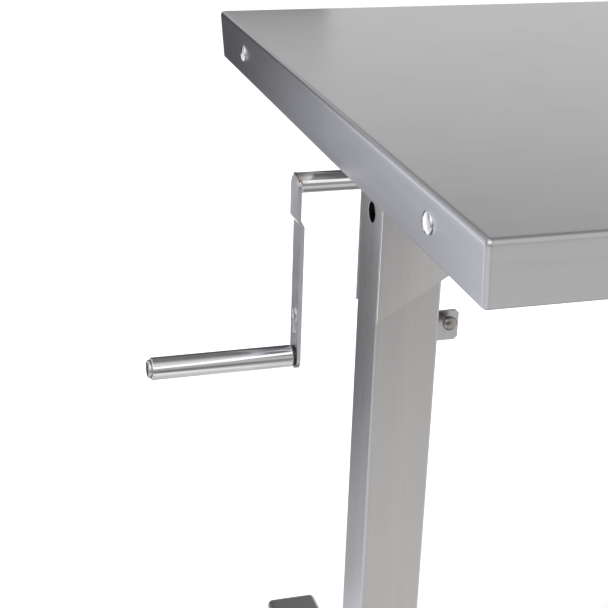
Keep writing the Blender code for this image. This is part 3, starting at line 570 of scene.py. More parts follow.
hub = {
    "shade": (0.105, 0.107, 0.112, 1), "rub": (0.19, 0.19, 0.195, 1), "rubs": (110.0, 4.0, 0.6, 0.5, 0.7),
    "pebble": (900.0, 2.0), "depth": 0.12, "roughness": 0.40, "spread": 0.2,
}


def hubPlastic(name):
    finish = Finish(name)
    rub = finish.patches(*hub["rubs"])
    return finish.show(
        Base_Color=finish.mix(rub, hub["shade"], hub["rub"]),
        Roughness=hub["roughness"] + hub["spread"] * rub,
        Normal=finish.bump(finish.noise(*hub["pebble"]), hub["depth"]),
    )


skins = {
    "top": brushedSteel("brushed_top", "x", "y"),
    "upright": brushedSteel("brushed_upright", "z", stock="tube", tint="warm", bow=0.25),
    "gusset": brushedSteel("brushed_gusset", "z", stock="tube", tint="warm", bow=1.1, nod=0.03),
    "lengthwise": brushedSteel("brushed_lengthwise", "x"),
    "crosswise": brushedSteel("brushed_crosswise", "y"),
    "turned": turnedSteel("turned_tube"),
    "heated": turnedSteel("turned_tube_heated", heated=True),
    "button": turnedSteel("turned_button", dark="dull", light="dullest"),
    "flatBar": polishedBar("polished_bar", "z"),
    "dome": polishedDome("polished_dome"),
    "weld": weldMetal("weld_bead"),
    "zinc": zincPlate("zinc_plate"),
    "bronze": turnedBronze("bronze_turned"),
    "plastic": mouldedPlastic("black_moulded"),
    "tyre": tyreRubber("grey_tyre"),
    "hub": hubPlastic("hub_moulded"),
}
print("finishes:", len(skins))


# Top: one folded sheet, sides turned down, lower edge returned inward

top = {
    "sheet": 0.002, "bend": 0.0047, "lowBend": 0.0016, "corner": 0.0044, "leastCorner": 0.0004,
    "hem": 0.014, "rim": 0.003, "lean": 0.0040, "deeper": 0.001, "drill": 0.02, "steps": 8,
}
rivet = {
    "head": 0.0094, "rise": 0.0032, "lip": 0.0007, "edge": 0.0003, "crown": 0.03, "shank": 0.004,
    "tail": 0.0058, "tailHeight": 0.003, "tailRound": 0.0004,
    "tailFlat": 0.2, "tailEase": 0.7,  # shares of the tail's radius, as crown is of the head's
}


def buildTop():
    low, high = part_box("tabletop")
    size = high - low
    sheet, bend, fold, rim, hem = (top[key] for key in ("sheet", "bend", "lowBend", "rim", "hem"))
    drop = -size.z - top["deeper"]
    path = [(bend + rim, 0)]
    path += arcPoints((bend, -bend), bend, quarter, math.pi, top["steps"])
    path += [(0, -bend - rim), (0, drop + fold + rim)]
    path += arcPoints((fold, drop + fold), fold, math.pi, math.pi * 1.5, top["steps"])
    path += [(hem, drop), (hem, drop + sheet)]
    path += [(sheet + rim, drop + sheet), (sheet, drop + sheet), (sheet, -sheet)]
    rings = []
    for inset, height in path:
        corner = max(top["corner"] - inset, top["leastCorner"])
        inset -= top["lean"] * (1 - height / drop)  # the fold is a touch past square
        rings.append(roundRing(size.x - 2 * inset, size.y - 2 * inset, corner, height, top["steps"]))
    centre = Vector(((low.x + high.x) / 2, (low.y + high.y) / 2, high.z))
    drills = []
    for side in sides:
        for face in faces:
            spot = middle(f"{side}_{face}_rivet") - centre
            drills.append(moved(rod(rivet["shank"], top["drill"], xAxis, count=24), spot))
    shape = carve(loft(rings), *drills)
    piece("folded_top", shape, centre, "lift", skins["top"], ["tabletop"])


def buildRivets():
    topLow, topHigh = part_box("tabletop")
    head, lip, rise = rivet["head"], rivet["lip"], rivet["rise"]
    shank, tail, tailHeight = rivet["shank"], rivet["tail"], rivet["tailHeight"]
    for side, sign in sides.items():
        apron = topHigh.x if sign > 0 else topLow.x
        seat = apron + sign * top["lean"] / 2
        for face in faces:
            name = f"{side}_{face}_rivet"
            low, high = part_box(name)
            back = -abs(apron - (low.x if sign > 0 else high.x))
            profile = [(tail * rivet["tailFlat"], back)]
            profile += [(tail * rivet["tailEase"], back + rivet["tailRound"])]
            profile += [(tail, back + tailHeight / 2), (tail, back + tailHeight)]
            profile += [(shank, back + tailHeight), (shank, 0)]
            profile += [(head - rivet["edge"], 0), (head, lip / 2)]
            for across, up in unitArc(0, quarter, steps=10)[:-1]:
                profile.append((head * across, lip + (rise - lip) * up))
            profile.append((head * rivet["crown"], rise))
            place = Vector((seat, (low.y + high.y) / 2, (low.z + high.z) / 2))
            shape = lathe(profile, xAxis * sign, count=40)
            piece(f"{name}_domed", shape, place, "lift", skins["dome"], [name])


buildTop()
buildRivets()
print("top folded and riveted")


# Legs, gussets and the hanger on the left leg

leg = {
    "wall": 0.002, "corner": 0.0024, "innerCorner": 0.0036, "edge": 0.0005,
    "accessRadius": 0.0100, "accessDrop": 0.0646, "bushHole": 0.0103, "drill": 0.004,
}


def legTube(name, node, body, corner, holes=()):
    low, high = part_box(node)
    size = high - low
    shape = roundedTube(size.x, size.y, leg["wall"], corner, 0, size.z)
    drills = []
    for toward, level, radius in holes:
        spot = (toward * size.x / 2, 0, level - low.z)
        drills.append(moved(rod(radius, leg["drill"], xAxis, count=40), spot))
    if drills:
        shape = carve(shape, *drills)
    place = Vector(((low.x + high.x) / 2, 0, low.z))
    piece(name, shape, place, body, skins["upright"], [node], edge=leg["edge"])


def buildLegs():
    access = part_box("tabletop")[0].z - leg["accessDrop"]
    shaftZ = middle("drive_shaft").z
    for side, sign in sides.items():
        holes = [(sign, access, leg["accessRadius"]), (-sign, shaftZ, leg["bushHole"])]
        if side == "left":  # the shaft comes out to the crank here
            holes.append((sign, shaftZ, leg["bushHole"]))
        legTube(f"{side}_leg_tube", f"{side}_outer_leg", "lift", leg["corner"], holes)
        legTube(f"{side}_inner_tube", f"{side}_inner_leg", "base", leg["innerCorner"])


gusset = {"tip": 0.012, "edge": 0.0006, "round": 0.48, "roundSteps": 5, "proud": 0.0007}


def uprightAt(line, x, slack=1e-6, least=1e-4):  # an edge that stands in the plane of that x
    one, two = (vert.co for vert in line.verts)
    return max(abs(one.x - x), abs(two.x - x)) < slack and abs(one.z - two.z) > least


def buildGussets():
    for side, sign in sides.items():
        legLow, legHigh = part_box(f"{side}_outer_leg")
        start = (legHigh.x if sign > 0 else legLow.x) + sign * gusset["proud"]
        for face in faces:
            name = f"{side}_{face}_gusset"
            low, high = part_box(name)
            end = low.x if sign > 0 else high.x
            outline = [(start, low.z), (end, high.z - gusset["tip"]), (end, high.z), (start, high.z)]
            place = Vector(((legLow.x + legHigh.x) / 2, (low.y + high.y) / 2, low.z))
            shape = moved(prism(outline, yAxis, low.y, high.y), -place)
            rounded = [line for line in shape.edges if uprightAt(line, start - place.x)]
            bmesh.ops.bevel(  # the edge along the upright is dressed round
                shape, geom=rounded, offset=gusset["round"] * (high.y - low.y),
                segments=gusset["roundSteps"], profile=0.5, affect="EDGES")
            piece(
                f"{name}_plate", shape, place, "lift", skins["gusset"],
                [name], edge=gusset["edge"])


hanger = {
    "corner": 0.0034, "edge": 0.0005, "neck": 0.003, "head": 0.0074, "headHeight": 0.005, "ease": 0.0006,
    "crown": 0.04, "bead": 0.0016, "beadInset": 0.002, "beadStep": 0.0005, "beadRipple": 0.22,
}


def buildHanger():
    low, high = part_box("hanger_tab")
    corner = hanger["corner"]
    outline = [(low.x, low.z), (high.x - corner, low.z), (high.x, low.z + corner)]
    outline += [(high.x, high.z - corner), (high.x - corner, high.z), (low.x, high.z)]
    shape = prism(outline, yAxis, low.y, high.y)
    piece(
        "hanger_plate", shape, Vector(), "lift", skins["flatBar"],
        ["hanger_tab"], edge=hanger["edge"])
    for face, y in (("front", low.y), ("rear", high.y)):
        levels = (low.z + hanger["beadInset"], high.z - hanger["beadInset"])
        run = finer([Vector((low.x, y, level)) for level in levels], hanger["beadStep"])
        bead = sweep(run, hanger["bead"], ripple=hanger["beadRipple"])
        piece(f"hanger_bead_{face}", bead, Vector(), "lift", skins["weld"])


def buildButton():  # the stud that the crank's keyhole hangs on
    low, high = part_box("hanger_stud")
    length = high.y - low.y
    neck, head, tall, ease = (hanger[key] for key in ("neck", "head", "headHeight", "ease"))
    under = length - tall
    profile = [(neck, 0), (neck, under - ease), (neck + ease, under)]
    profile += [(head - ease, under), (head, under + ease)]
    for across, rise in unitArc(0, quarter, steps=8)[:-1]:
        profile.append((head * across, length - tall / 2 + tall / 2 * rise))
    profile.append((head * hanger["crown"], length))
    place = Vector(((low.x + high.x) / 2, high.y, (low.z + high.z) / 2))
    shape = lathe(profile, -yAxis, count=40)
    piece("hanger_button", shape, place, "lift", skins["button"], ["hanger_stud"])


buildLegs()
buildGussets()
buildHanger()
buildButton()
print("legs, gussets and hanger built")


# Crank: tube, joggled bar with a keyhole, grip sleeve on its spindle

arm = {
    "width": 0.0245, "wall": 0.0036, "edge": 0.0009, "crownDrop": 0.0020, "endSteps": 14,
    "joggleStart": 0.0331, "joggleLength": 0.0062, "joggleEase": 0.16, "joggleSteps": 24,
    "keyDrop": 0.1312, "keyRadius": 0.0064, "slotRadius": 0.0035, "slotLength": 0.0156,
    "rim": 0.0008, "rimStep": 0.0008,
}
tube = {"radius": 0.0095, "rim": 0.0008, "hex": 0.0121, "points": 48}
spindle = {
    "radius": 0.006, "endShare": 0.8, "chamfer": 0.0012, "gap": 0.0003, "crown": 0.0004,
    "head": 0.0088, "headEase": 0.0002, "headEdge": 0.0003, "headRound": 0.002,
}
grip = {
    "radius": 0.0107, "edge": 0.0014, "edgeSteps": 6, "play": 0.0003,
    "washer": 0.0013, "washerRadius": 0.0099, "washerGap": 0.0001,
}


def joggleShift(part):  # a straight ramp between two tight bends
    tight = arm["joggleEase"]
    if part < tight:
        return max(part + tight, 0) ** 2 / (4 * tight)
    if part > 1 - tight:
        return 1 - max(1 + tight - part, 0) ** 2 / (4 * tight)
    return part


def keyholeOutline(keyZ):
    spread = math.asin(arm["slotRadius"] / arm["keyRadius"])
    outline = arcPoints((0, keyZ), arm["keyRadius"], spread - quarter, math.tau - spread - quarter, steps=32)
    outline += arcPoints((0, keyZ - arm["slotLength"]), arm["slotRadius"], math.pi, math.tau, steps=14)
    return outline


def buildArm(axisZ, gripZ):
    low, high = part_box("crank_arm")
    half = arm["width"] / 2
    wall = arm["wall"]
    depth = high.x - low.x - wall
    tight = arm["joggleEase"]
    bendZ = axisZ - arm["joggleStart"]
    crownZ = high.z - half - arm["crownDrop"]
    rows = []
    for across, rise in unitArc(quarter, 0, arm["endSteps"])[1:]:
        rows.append((crownZ + half * rise, half * across))
    for step in range(arm["joggleSteps"] + 1):
        part = -tight + (1 + 2 * tight) * step / arm["joggleSteps"]
        rows.append((bendZ - arm["joggleLength"] * part, half))
    for across, rise in unitArc(0, -quarter, arm["endSteps"])[:-1]:
        rows.append((gripZ + half * rise, half * across))
    rings = []
    for z, reach in rows:
        x = low.x + depth * joggleShift((bendZ - z) / arm["joggleLength"])
        rings.append([
            Vector((x, -reach, z)), Vector((x, reach, z)),
            Vector((x + wall, reach, z)), Vector((x + wall, -reach, z)),
        ])
    keyhole = keyholeOutline(axisZ - arm["keyDrop"])
    through = (high.x - 2 * wall, high.x + wall)
    key = prism(keyhole, xAxis, *through)
    pin = moved(lathe([(spindle["radius"], x) for x in through], xAxis, count=32), (0, 0, gripZ))
    shape = carve(loft(rings), key, pin)
    place = Vector((low.x, 0, axisZ))
    for name, x in (("outer", high.x - wall), ("inner", high.x)):
        loop = finer([Vector((x, y, z)) - place for y, z in keyhole], arm["rimStep"], closed=True)
        rim = sweep(loop, arm["rim"], count=8, closed=True)
        piece(f"keyhole_rim_{name}", rim, place, "crank", skins["turned"])
    piece(
        "crank_bar", moved(shape, -place), place, "crank", skins["flatBar"],
        ["crank_arm"], edge=arm["edge"])


fillet = {
    "size": 0.0028, "sink": 0.0002, "edgeLeft": 0.0007, "points": 96, "steps": 12,
    "length": 1.5, "crownLength": 0.3,  # times the size, and what the crown adds
    "crownInset": 0.0021, "crownSlope": 3, "crownStart": 1.2,
    "waver": 0.16, "waves": 3, "waveStart": 0.6, "ripple": 0.09, "ripples": (17, 5),
}


def buildFillet(place):  # hand-laid weld between tube and bar
    foot = tube["radius"] - fillet["sink"]
    crown = arm["width"] / 2 - fillet["crownInset"]
    often, seldom = fillet["ripples"]
    rings = []
    for step in range(fillet["steps"] + 1):
        inward = 1 - math.sin(step / fillet["steps"] * quarter)
        outward = 1 - math.cos(step / fillet["steps"] * quarter)
        ring = []
        for turn in range(fillet["points"]):
            angle = math.tau * turn / fillet["points"]
            beat = 1 + fillet["waver"] * math.sin(fillet["waves"] * angle + fillet["waveStart"])
            beat += fillet["ripple"] * math.sin(often * angle) * math.sin(seldom * angle)
            # over the crown it covers the bar's edge
            above = min(max(math.sin(angle) * fillet["crownSlope"] + fillet["crownStart"], 0), 1)
            start = -(arm["wall"] - fillet["edgeLeft"]) * above
            size = (crown - foot) * above + fillet["size"] * beat * (1 - above)
            end = fillet["size"] * (fillet["length"] + fillet["crownLength"] * above) * beat
            reach = foot + size * inward
            along = start + (end - start) * outward
            ring.append(Vector((along, reach * math.cos(angle), reach * math.sin(angle))))
        rings.append(ring)
    piece("crank_fillet", loft(rings), place, "crank", skins["heated"])


def buildTube(axisZ):
    low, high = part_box("crank_shaft")
    length = high.x - low.x
    radius, rim, count = tube["radius"], tube["rim"], tube["points"]
    rings = []
    for reach, along in ((radius - rim, 0), (radius, rim), (radius, length - rim), (radius - rim, length)):
        rings.append(circleRing(reach, along, xAxis, count))
    for along in (length, 0):  # hexagon socket right through
        rings.append(circleRing(tube["hex"] / 2, along, xAxis, count, flats=6))
    place = Vector((low.x, 0, axisZ))
    shape = loft(rings, closed=True)
    piece("crank_tube", shape, place, "crank", skins["heated"], ["crank_shaft"])
    buildFillet(place)


def buildSpindle(gripZ):
    low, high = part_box("grip_spindle")
    radius, head, dome = spindle["radius"], spindle["head"], spindle["headRound"]
    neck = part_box("grip_sleeve")[0].x - high.x - spindle["gap"]
    end = low.x - high.x
    profile = [(radius * spindle["endShare"], 0), (radius, -spindle["chamfer"]), (radius, neck)]
    profile += [(head - spindle["headEase"], neck), (head, neck - spindle["headEdge"])]
    for across, rise in unitArc(0, quarter, steps=6)[:-1]:
        profile.append((head - dome + dome * across, end + dome - dome * rise))
    profile.append((spindle["crown"], end))
    place = Vector((high.x, 0, gripZ))
    shape = lathe(profile, xAxis, count=40)
    piece("grip_pin", shape, place, "crank", skins["turned"], ["grip_spindle"])


def buildSleeve(gripZ):
    low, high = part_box("grip_sleeve")
    thick, wide, edge = grip["washer"], grip["washerRadius"], grip["edge"]
    length = high.x - low.x - thick
    bore = spindle["radius"] + grip["play"]
    shape = lathe([(bore, 0), (wide, 0), (wide, thick), (bore, thick)], xAxis, count=48, closed=True)
    place = Vector((low.x + length + grip["washerGap"], 0, gripZ))
    piece("grip_washer", shape, place, "crank", skins["plastic"])
    inner = grip["radius"] - edge
    profile = [(bore, 0)]
    for across, rise in unitArc(quarter, 0, grip["edgeSteps"]):
        profile.append((inner + edge * across, edge - edge * rise))
    for across, rise in unitArc(0, quarter, grip["edgeSteps"]):
        profile.append((inner + edge * across, length - edge + edge * rise))
    profile.append((bore, length))
    shape = lathe(profile, xAxis, count=64, closed=True)
    place = Vector((low.x, 0, gripZ))
    piece("grip_tube", shape, place, "grip", skins["turned"], ["grip_sleeve"])


axisZ = middle("crank_shaft").z
gripZ = middle("grip_sleeve").z
buildTube(axisZ)
buildArm(axisZ, gripZ)
buildSpindle(gripZ)
buildSleeve(gripZ)
print("crank built")


# Base: feet with welded ends, stretcher, beads round the uprights

base = {
    "wall": 0.003, "corner": 0.006, "edge": 0.0008, "cap": 0.003, "capInset": 0.0008, "steps": 6,
    "stem": 0.0066, "stemDrill": 0.01, "bead": 0.0022, "beadStep": 0.0006, "beadRipple": 0.2,
    "stretcherWall": 0.002, "stretcherCorner": 0.0045, "stretcherEdge": 0.0005, "stretcherBead": 0.00176,
}


def jointPlace(name):
    return Vector(next(joint["pos_m"] for joint in frame["joints"] if joint["name"] == name))


def beadRound(name, loop, radius, place):
    run = finer(loop, base["beadStep"], closed=True)
    bead = sweep(run, radius, ripple=base["beadRipple"], closed=True)
    piece(name, bead, place, "base", skins["weld"])


def buildFoot(side):
    low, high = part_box(f"{side}_foot")
    size = high - low
    centre = (low + high) / 2
    ends = size.y / 2 - base["cap"]
    shape = roundedTube(size.x, size.z, base["wall"], base["corner"], -ends, ends)
    shape = turned(shape, (xAxis, zAxis, -yAxis))
    stems = []
    for face in faces:
        swivelY = jointPlace(f"{side}_{face}_swivel_turn").y
        drill = rod(base["stem"], base["stemDrill"], zAxis, count=32)
        stems.append(moved(drill, (0, swivelY - centre.y, -size.z / 2)))
    shape = carve(shape, *stems)
    inset = 2 * base["capInset"]
    ring = roundRing(size.x - inset, size.z - inset, base["corner"], 0, base["steps"])
    for end in (-1, 1):
        rings = [[Vector((p.x, end * y, p.y)) for p in ring] for y in (ends, size.y / 2)]
        shape = merged(shape, loft(rings))
    piece(
        f"{side}_foot_beam", shape, centre, "base", skins["crosswise"],
        [f"{side}_foot"], edge=base["edge"])
    legLow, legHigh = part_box(f"{side}_inner_leg")
    upright = legHigh - legLow
    loop = roundRing(upright.x, upright.y, leg["innerCorner"], 0, base["steps"])
    beadRound(f"{side}_foot_bead", loop, base["bead"], Vector((centre.x, 0, high.z)))


def buildStretcher():
    low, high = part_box("lower_stretcher")
    size = high - low
    centre = (low + high) / 2
    corner = base["stretcherCorner"]
    shape = roundedTube(size.y, size.z, base["stretcherWall"], corner, -size.x / 2, size.x / 2)
    shape = turned(shape, (yAxis, zAxis, xAxis))
    piece(
        "stretcher_tube", shape, centre, "base", skins["lengthwise"],
        ["lower_stretcher"], edge=base["stretcherEdge"])
    loop = [Vector((0, p.x, p.y)) for p in roundRing(size.y, size.z, corner, 0, base["steps"])]
    for side, sign in sides.items():
        place = centre + xAxis * sign * size.x / 2
        beadRound(f"{side}_stretcher_bead", loop, base["stretcherBead"], place)


# Casters

wheel = {
    "half": 0.012, "crown": 0.0055, "crownSteps": 8, "lip": 0.001, "rim": 0.0255, "points": 72,
    "hub": 0.0125, "bore": 0.0043, "web": 0.0075, "face": 0.0135, "ease": 0.0012, "flare": 0.0008,
    "rimFoot": 0.0035, "rimSlope": 0.0025, "rimGap": 0.0002,
    "spokes": 5, "spoke": (0.003, 0.0032), "spokeShort": 0.003, "spokeProud": 0.0004, "edge": 0.0004,
}


def buildWheel(name, place):
    half, crown, rim, inner = (wheel[key] for key in ("half", "crown", "rim", "hub"))
    web, face, ease = wheel["web"], wheel["face"], wheel["ease"]
    profile = [(rim, half - wheel["lip"]), (rim + wheel["lip"], half)]
    profile += arcPoints((place.z - crown, half - crown), crown, quarter, 0, wheel["crownSteps"])
    tyre = lathe(mirrored(profile), xAxis, wheel["points"], closed=True)
    piece(f"{name}_tyre", tyre, place, f"{name}_roll", skins["tyre"], [f"{name}_wheel"])
    profile = [(wheel["bore"], face), (inner - ease, face), (inner, face - ease)]
    profile += [(inner + wheel["flare"], web), (rim - wheel["rimFoot"], web)]
    profile += [(rim - wheel["rimSlope"], half - ease), (rim - wheel["rimGap"], half - ease)]
    core = lathe(mirrored(profile), xAxis, wheel["points"], closed=True)
    spokes = []
    for step in range(wheel["spokes"]):
        spin = Matrix.Rotation(math.tau * step / wheel["spokes"], 3, "X")
        for sign in (-1, 1):
            rib = bmesh.new()
            bmesh.ops.create_cube(rib, size=1)
            length = rim - inner - wheel["spokeShort"]
            bmesh.ops.scale(rib, vec=(*wheel["spoke"], length), verts=rib.verts)
            moved(rib, (sign * (web + wheel["spokeProud"]), 0, (rim + inner) / 2))
            bmesh.ops.rotate(rib, matrix=spin, verts=rib.verts)
            spokes.append(rib)
    core = merged(core, *spokes)
    piece(f"{name}_hub", core, place, f"{name}_roll", skins["hub"], edge=wheel["edge"])


race = {
    "radius": 0.023, "height": 0.006, "gap": 0.0003, "bore": 0.0015, "shoulder": 0.004, "chamfer": 0.0012,
    "bulge": 0.0016, "bulgeUp": 0.003, "neck": 0.003, "neckUp": 0.0046, "neckDown": 0.001, "lip": 0.0035,
    "stem": 0.006, "stemStraight": 0.021, "stemTop": 0.022, "stemEase": 0.001, "stemTip": 0.0004,
}
yoke = {
    "inside": 0.014, "wall": 0.0025, "bend": 0.005, "bendSteps": 6, "below": 0.012, "edge": 0.0005,
    "cut": 0.05, "front": 0.016, "rear": 0.021, "over": 0.002, "plate": 0.012,
    "nose": 0.010, "noseTurn": (205, 385), "bore": 0.0043, "boreHalf": 0.03,
}


def buildRace(name, place, level):  # swivel race and its stem in the foot
    radius, stem, bulge = race["radius"], race["stem"], race["bulge"]
    low = level - race["height"]
    neck = radius - race["neck"]
    stemTop = level + race["stemTop"]
    profile = [(race["bore"], low), (radius - race["shoulder"], low)]
    profile += [(radius - race["chamfer"], low + race["chamfer"])]
    profile += arcPoints((radius - bulge, low + race["bulgeUp"]), bulge, -quarter / 2, quarter, steps=6)
    profile += [(neck, low + race["neckUp"]), (neck, level - race["neckDown"])]
    profile += [(radius - race["lip"], level), (stem, level), (stem, level + race["stemStraight"])]
    profile += [(stem - race["stemEase"], stemTop), (race["stemTip"], stemTop)]
    shape = lathe(profile, zAxis, count=56)
    piece(f"{name}_race", shape, place, f"{name}_swivel", skins["zinc"])


def buildYoke(name, sign, place, axle, plateTop):  # folded plate, trimmed to its side outline
    wall, inside, bend, steps = (yoke[key] for key in ("wall", "inside", "bend", "bendSteps"))
    outside = inside + wall
    bottom = axle.z - yoke["below"]
    turnX = outside - bend
    turnZ = plateTop - bend
    section = [(-outside, bottom)]
    section += arcPoints((-turnX, turnZ), bend, math.pi, quarter, steps)
    section += arcPoints((turnX, turnZ), bend, quarter, 0, steps)
    section += [(outside, bottom), (inside, bottom)]
    section += arcPoints((turnX, turnZ), bend - wall, 0, quarter, steps)
    section += arcPoints((-turnX, turnZ), bend - wall, quarter, math.pi, steps)
    section += [(-inside, bottom)]
    back = axle.y - place.y
    over, under = plateTop + yoke["over"], plateTop - yoke["plate"]
    start, end = (math.radians(turn) for turn in yoke["noseTurn"])
    trim = [(-yoke["front"], over), (-yoke["front"], under)]
    trim += arcPoints((abs(back), axle.z), yoke["nose"], start, end, steps=14)
    trim += [(yoke["rear"], under), (yoke["rear"], over)]
    trim = [(sign * y, z) for y, z in trim]
    cut = yoke["cut"]
    shape = carve(prism(section, yAxis, -cut, cut), prism(trim, xAxis, -cut, cut), operation="INTERSECT")
    shape = carve(shape, moved(rod(yoke["bore"], yoke["boreHalf"], xAxis, count=24), (0, back, axle.z)))
    piece(
        f"{name}_yoke", shape, place, f"{name}_swivel", skins["zinc"],
        [f"{name}_fork"], edge=yoke["edge"])


bolt = {"flats": 0.011, "head": 0.003, "chamfer": 0.0006, "shank": 0.004, "points": 48}


def buildAxle(name, axle):
    low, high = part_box(f"{name}_axle")
    half = (high.x - low.x) / 2
    flats, chamfer, under = bolt["flats"] / 2, bolt["chamfer"], half - bolt["head"]
    rings = []
    for end in (-1, 1):
        head = [
            circleRing(flats - chamfer, end * half, xAxis, bolt["points"]),
            circleRing(flats, end * (half - chamfer), xAxis, bolt["points"], flats=6),
            circleRing(flats, end * under, xAxis, bolt["points"], flats=6),
            circleRing(bolt["shank"], end * under, xAxis, bolt["points"]),
        ]
        rings += head if end < 0 else head[::-1]
    piece(
        f"{name}_axle_bolt", loft(rings), axle, f"{name}_swivel", skins["zinc"],
        [f"{name}_axle"])


pedal = {
    "play": 0.0008, "wall": 0.0022, "pad": 0.018, "drop": 0.010, "boss": 0.0044, "bossTurn": (250, 90),
    "tip": 0.004, "tipUp": 0.001, "tipTurn": (0.7, -0.6), "heel": 0.001,
    "shoe": ((0.0235, -0.007), (0.0125, -0.007)), "shoeEnds": (0.025, 0.011), "edge": 0.0007,
    "pin": 0.0025, "pinPast": 0.0032, "rib": 0.0011, "ribShort": 0.003, "ribProud": 0.0004,
    "ribs": 4, "ribStart": 0.6, "ribSpan": 4.4, "ribFall": 0.9,
}


def buildPedal(name, sign, pivot):
    low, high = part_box(f"{name}_brake_pedal")
    reach = max(abs(low.y - pivot.y), abs(high.y - pivot.y))
    half = yoke["inside"] - pedal["play"]
    wall, pad, drop, tip = (pedal[key] for key in ("wall", "pad", "drop", "tip"))
    outline = arcPoints((0, 0), pedal["boss"], *(math.radians(turn) for turn in pedal["bossTurn"]), steps=8)
    outline += [(reach - pad, wall)]
    start, end = (quarter * turn for turn in pedal["tipTurn"])
    outline += arcPoints((reach - tip, wall - drop + pedal["tipUp"]), tip, start, end, steps=6)
    far, near = pedal["shoeEnds"]
    outline += [(reach - pad - pedal["heel"], -wall), (far, -wall), *pedal["shoe"], (near, -wall)]
    shape = prism([(sign * y, z) for y, z in outline], xAxis, -half, half)
    pin = rod(pedal["pin"], half + pedal["pinPast"], xAxis, count=24)
    ribs = []
    for step in range(pedal["ribs"]):
        along = (step + pedal["ribStart"]) / pedal["ribSpan"]
        y = sign * (reach - pad + (pad - tip) * along)
        z = wall - drop * along * pedal["ribFall"] + pedal["ribProud"]
        ribs.append(moved(rod(pedal["rib"], half - pedal["ribShort"], xAxis, count=12), (0, y, z)))
    piece(
        f"{name}_pedal", merged(shape, pin, *ribs), pivot, f"{name}_brake", skins["plastic"],
        [f"{name}_brake_pedal"], edge=pedal["edge"])


def buildCaster(side, face, sign):
    name = f"{side}_{face}"
    swivel = jointPlace(f"{name}_swivel_turn")
    axle = jointPlace(f"{name}_wheel_roll")
    place = Vector((swivel.x, swivel.y, 0))
    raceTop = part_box(f"{side}_foot")[0].z - race["gap"]
    buildWheel(name, axle)
    buildYoke(name, sign, place, axle, raceTop - race["height"])
    buildRace(name, place, raceTop)
    buildAxle(name, axle)
    buildPedal(name, sign, jointPlace(f"{name}_brake_press"))


for side in sides:
    buildFoot(side)
buildStretcher()
for side in sides:
    for face, sign in faces.items():
        buildCaster(side, face, sign)
print("base and casters built")


# Drive inside the legs and channels under the top

screw = {
    "core": 0.0062, "crest": 0.0079, "journal": 0.006, "lead": 0.010, "starts": 2, "perTurn": 24,
    "end": 0.001, "threadStart": 0.008, "threadShort": 0.006, "collar": 0.002, "gap": 0.0006,
    "chamfer": 0.0006, "root": 0.0006, "rootHalf": 0.38, "crestHalf": 0.2,  # halves are shares of the pitch
}
keptPairs = {  # nodes that show their own solids, one on each side: skin and edge
    "cross_channel": ("crosswise", 0.0008), "bearing_block": ("plastic", 0.0006),
    "glide": ("plastic", 0.0005), "lift_nut": ("bronze", 0.0004),
    "bevel_gear": ("bronze", 0.0001), "pinion": ("zinc", 0.0001),
}
keptNodes = {
    "front_channel": ("lengthwise", 0.0008), "rear_channel": ("lengthwise", 0.0008),
    "spine_channel": ("lengthwise", 0.0008), "left_outer_bush": ("bronze", 0.0003),
    "left_inner_bush": ("bronze", 0.0003), "right_inner_bush": ("bronze", 0.0003),
    "drive_shaft": ("zinc", 0.0002),
}


def threadRings(threadHigh, start):
    core, crest, lead = screw["core"] - screw["root"], screw["crest"], screw["lead"]
    pitch = lead / screw["starts"]
    steps = round((threadHigh - screw["threadStart"]) / lead * screw["perTurn"])
    wide, narrow = screw["rootHalf"], screw["crestHalf"]
    rings = []
    for step in range(steps + 1):
        angle = math.tau * (step / screw["perTurn"] + start / screw["starts"])
        level = screw["threadStart"] + lead * step / screw["perTurn"]
        ring = []
        for reach, rise in ((core, -wide), (crest, -narrow), (crest, narrow), (core, wide)):
            ring.append(Vector((reach * math.cos(angle), reach * math.sin(angle), level + rise * pitch)))
        rings.append(ring)
    return rings


def buildScrew(side):
    name = f"{side}_lead_screw"
    low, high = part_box(name)
    tall = high.z - low.z
    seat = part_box(f"{side}_bearing_block")[0].z - screw["gap"] - low.z
    threadHigh = seat - screw["threadShort"]
    core, crest, journal, end = (screw[key] for key in ("core", "crest", "journal", "end"))
    profile = [(core - end, 0), (core, end), (core, seat - screw["collar"]), (crest, seat - screw["collar"])]
    profile += [(crest, seat), (journal, seat), (journal, tall - screw["chamfer"])]
    profile += [(journal - screw["chamfer"], tall)]
    shapes = [lathe(profile, zAxis, count=40)]
    for start in range(screw["starts"]):
        shapes.append(loft(threadRings(threadHigh, start)))
    place = Vector(((low.x + high.x) / 2, 0, low.z))
    piece(
        f"{side}_threaded_rod", merged(*shapes), place, f"{side}_screw", skins["zinc"],
        [name])


def dressNodes():
    for side in sides:
        for node, (skin, edge) in keptPairs.items():
            dress(f"{side}_{node}", skins[skin], edge)
    for node, (skin, edge) in keptNodes.items():
        dress(node, skins[skin], edge)


for side in sides:
    buildScrew(side)
dressNodes()
print("drive dressed")


# Studio: pale floor, soft lights, surroundings for the metal to mirror, camera

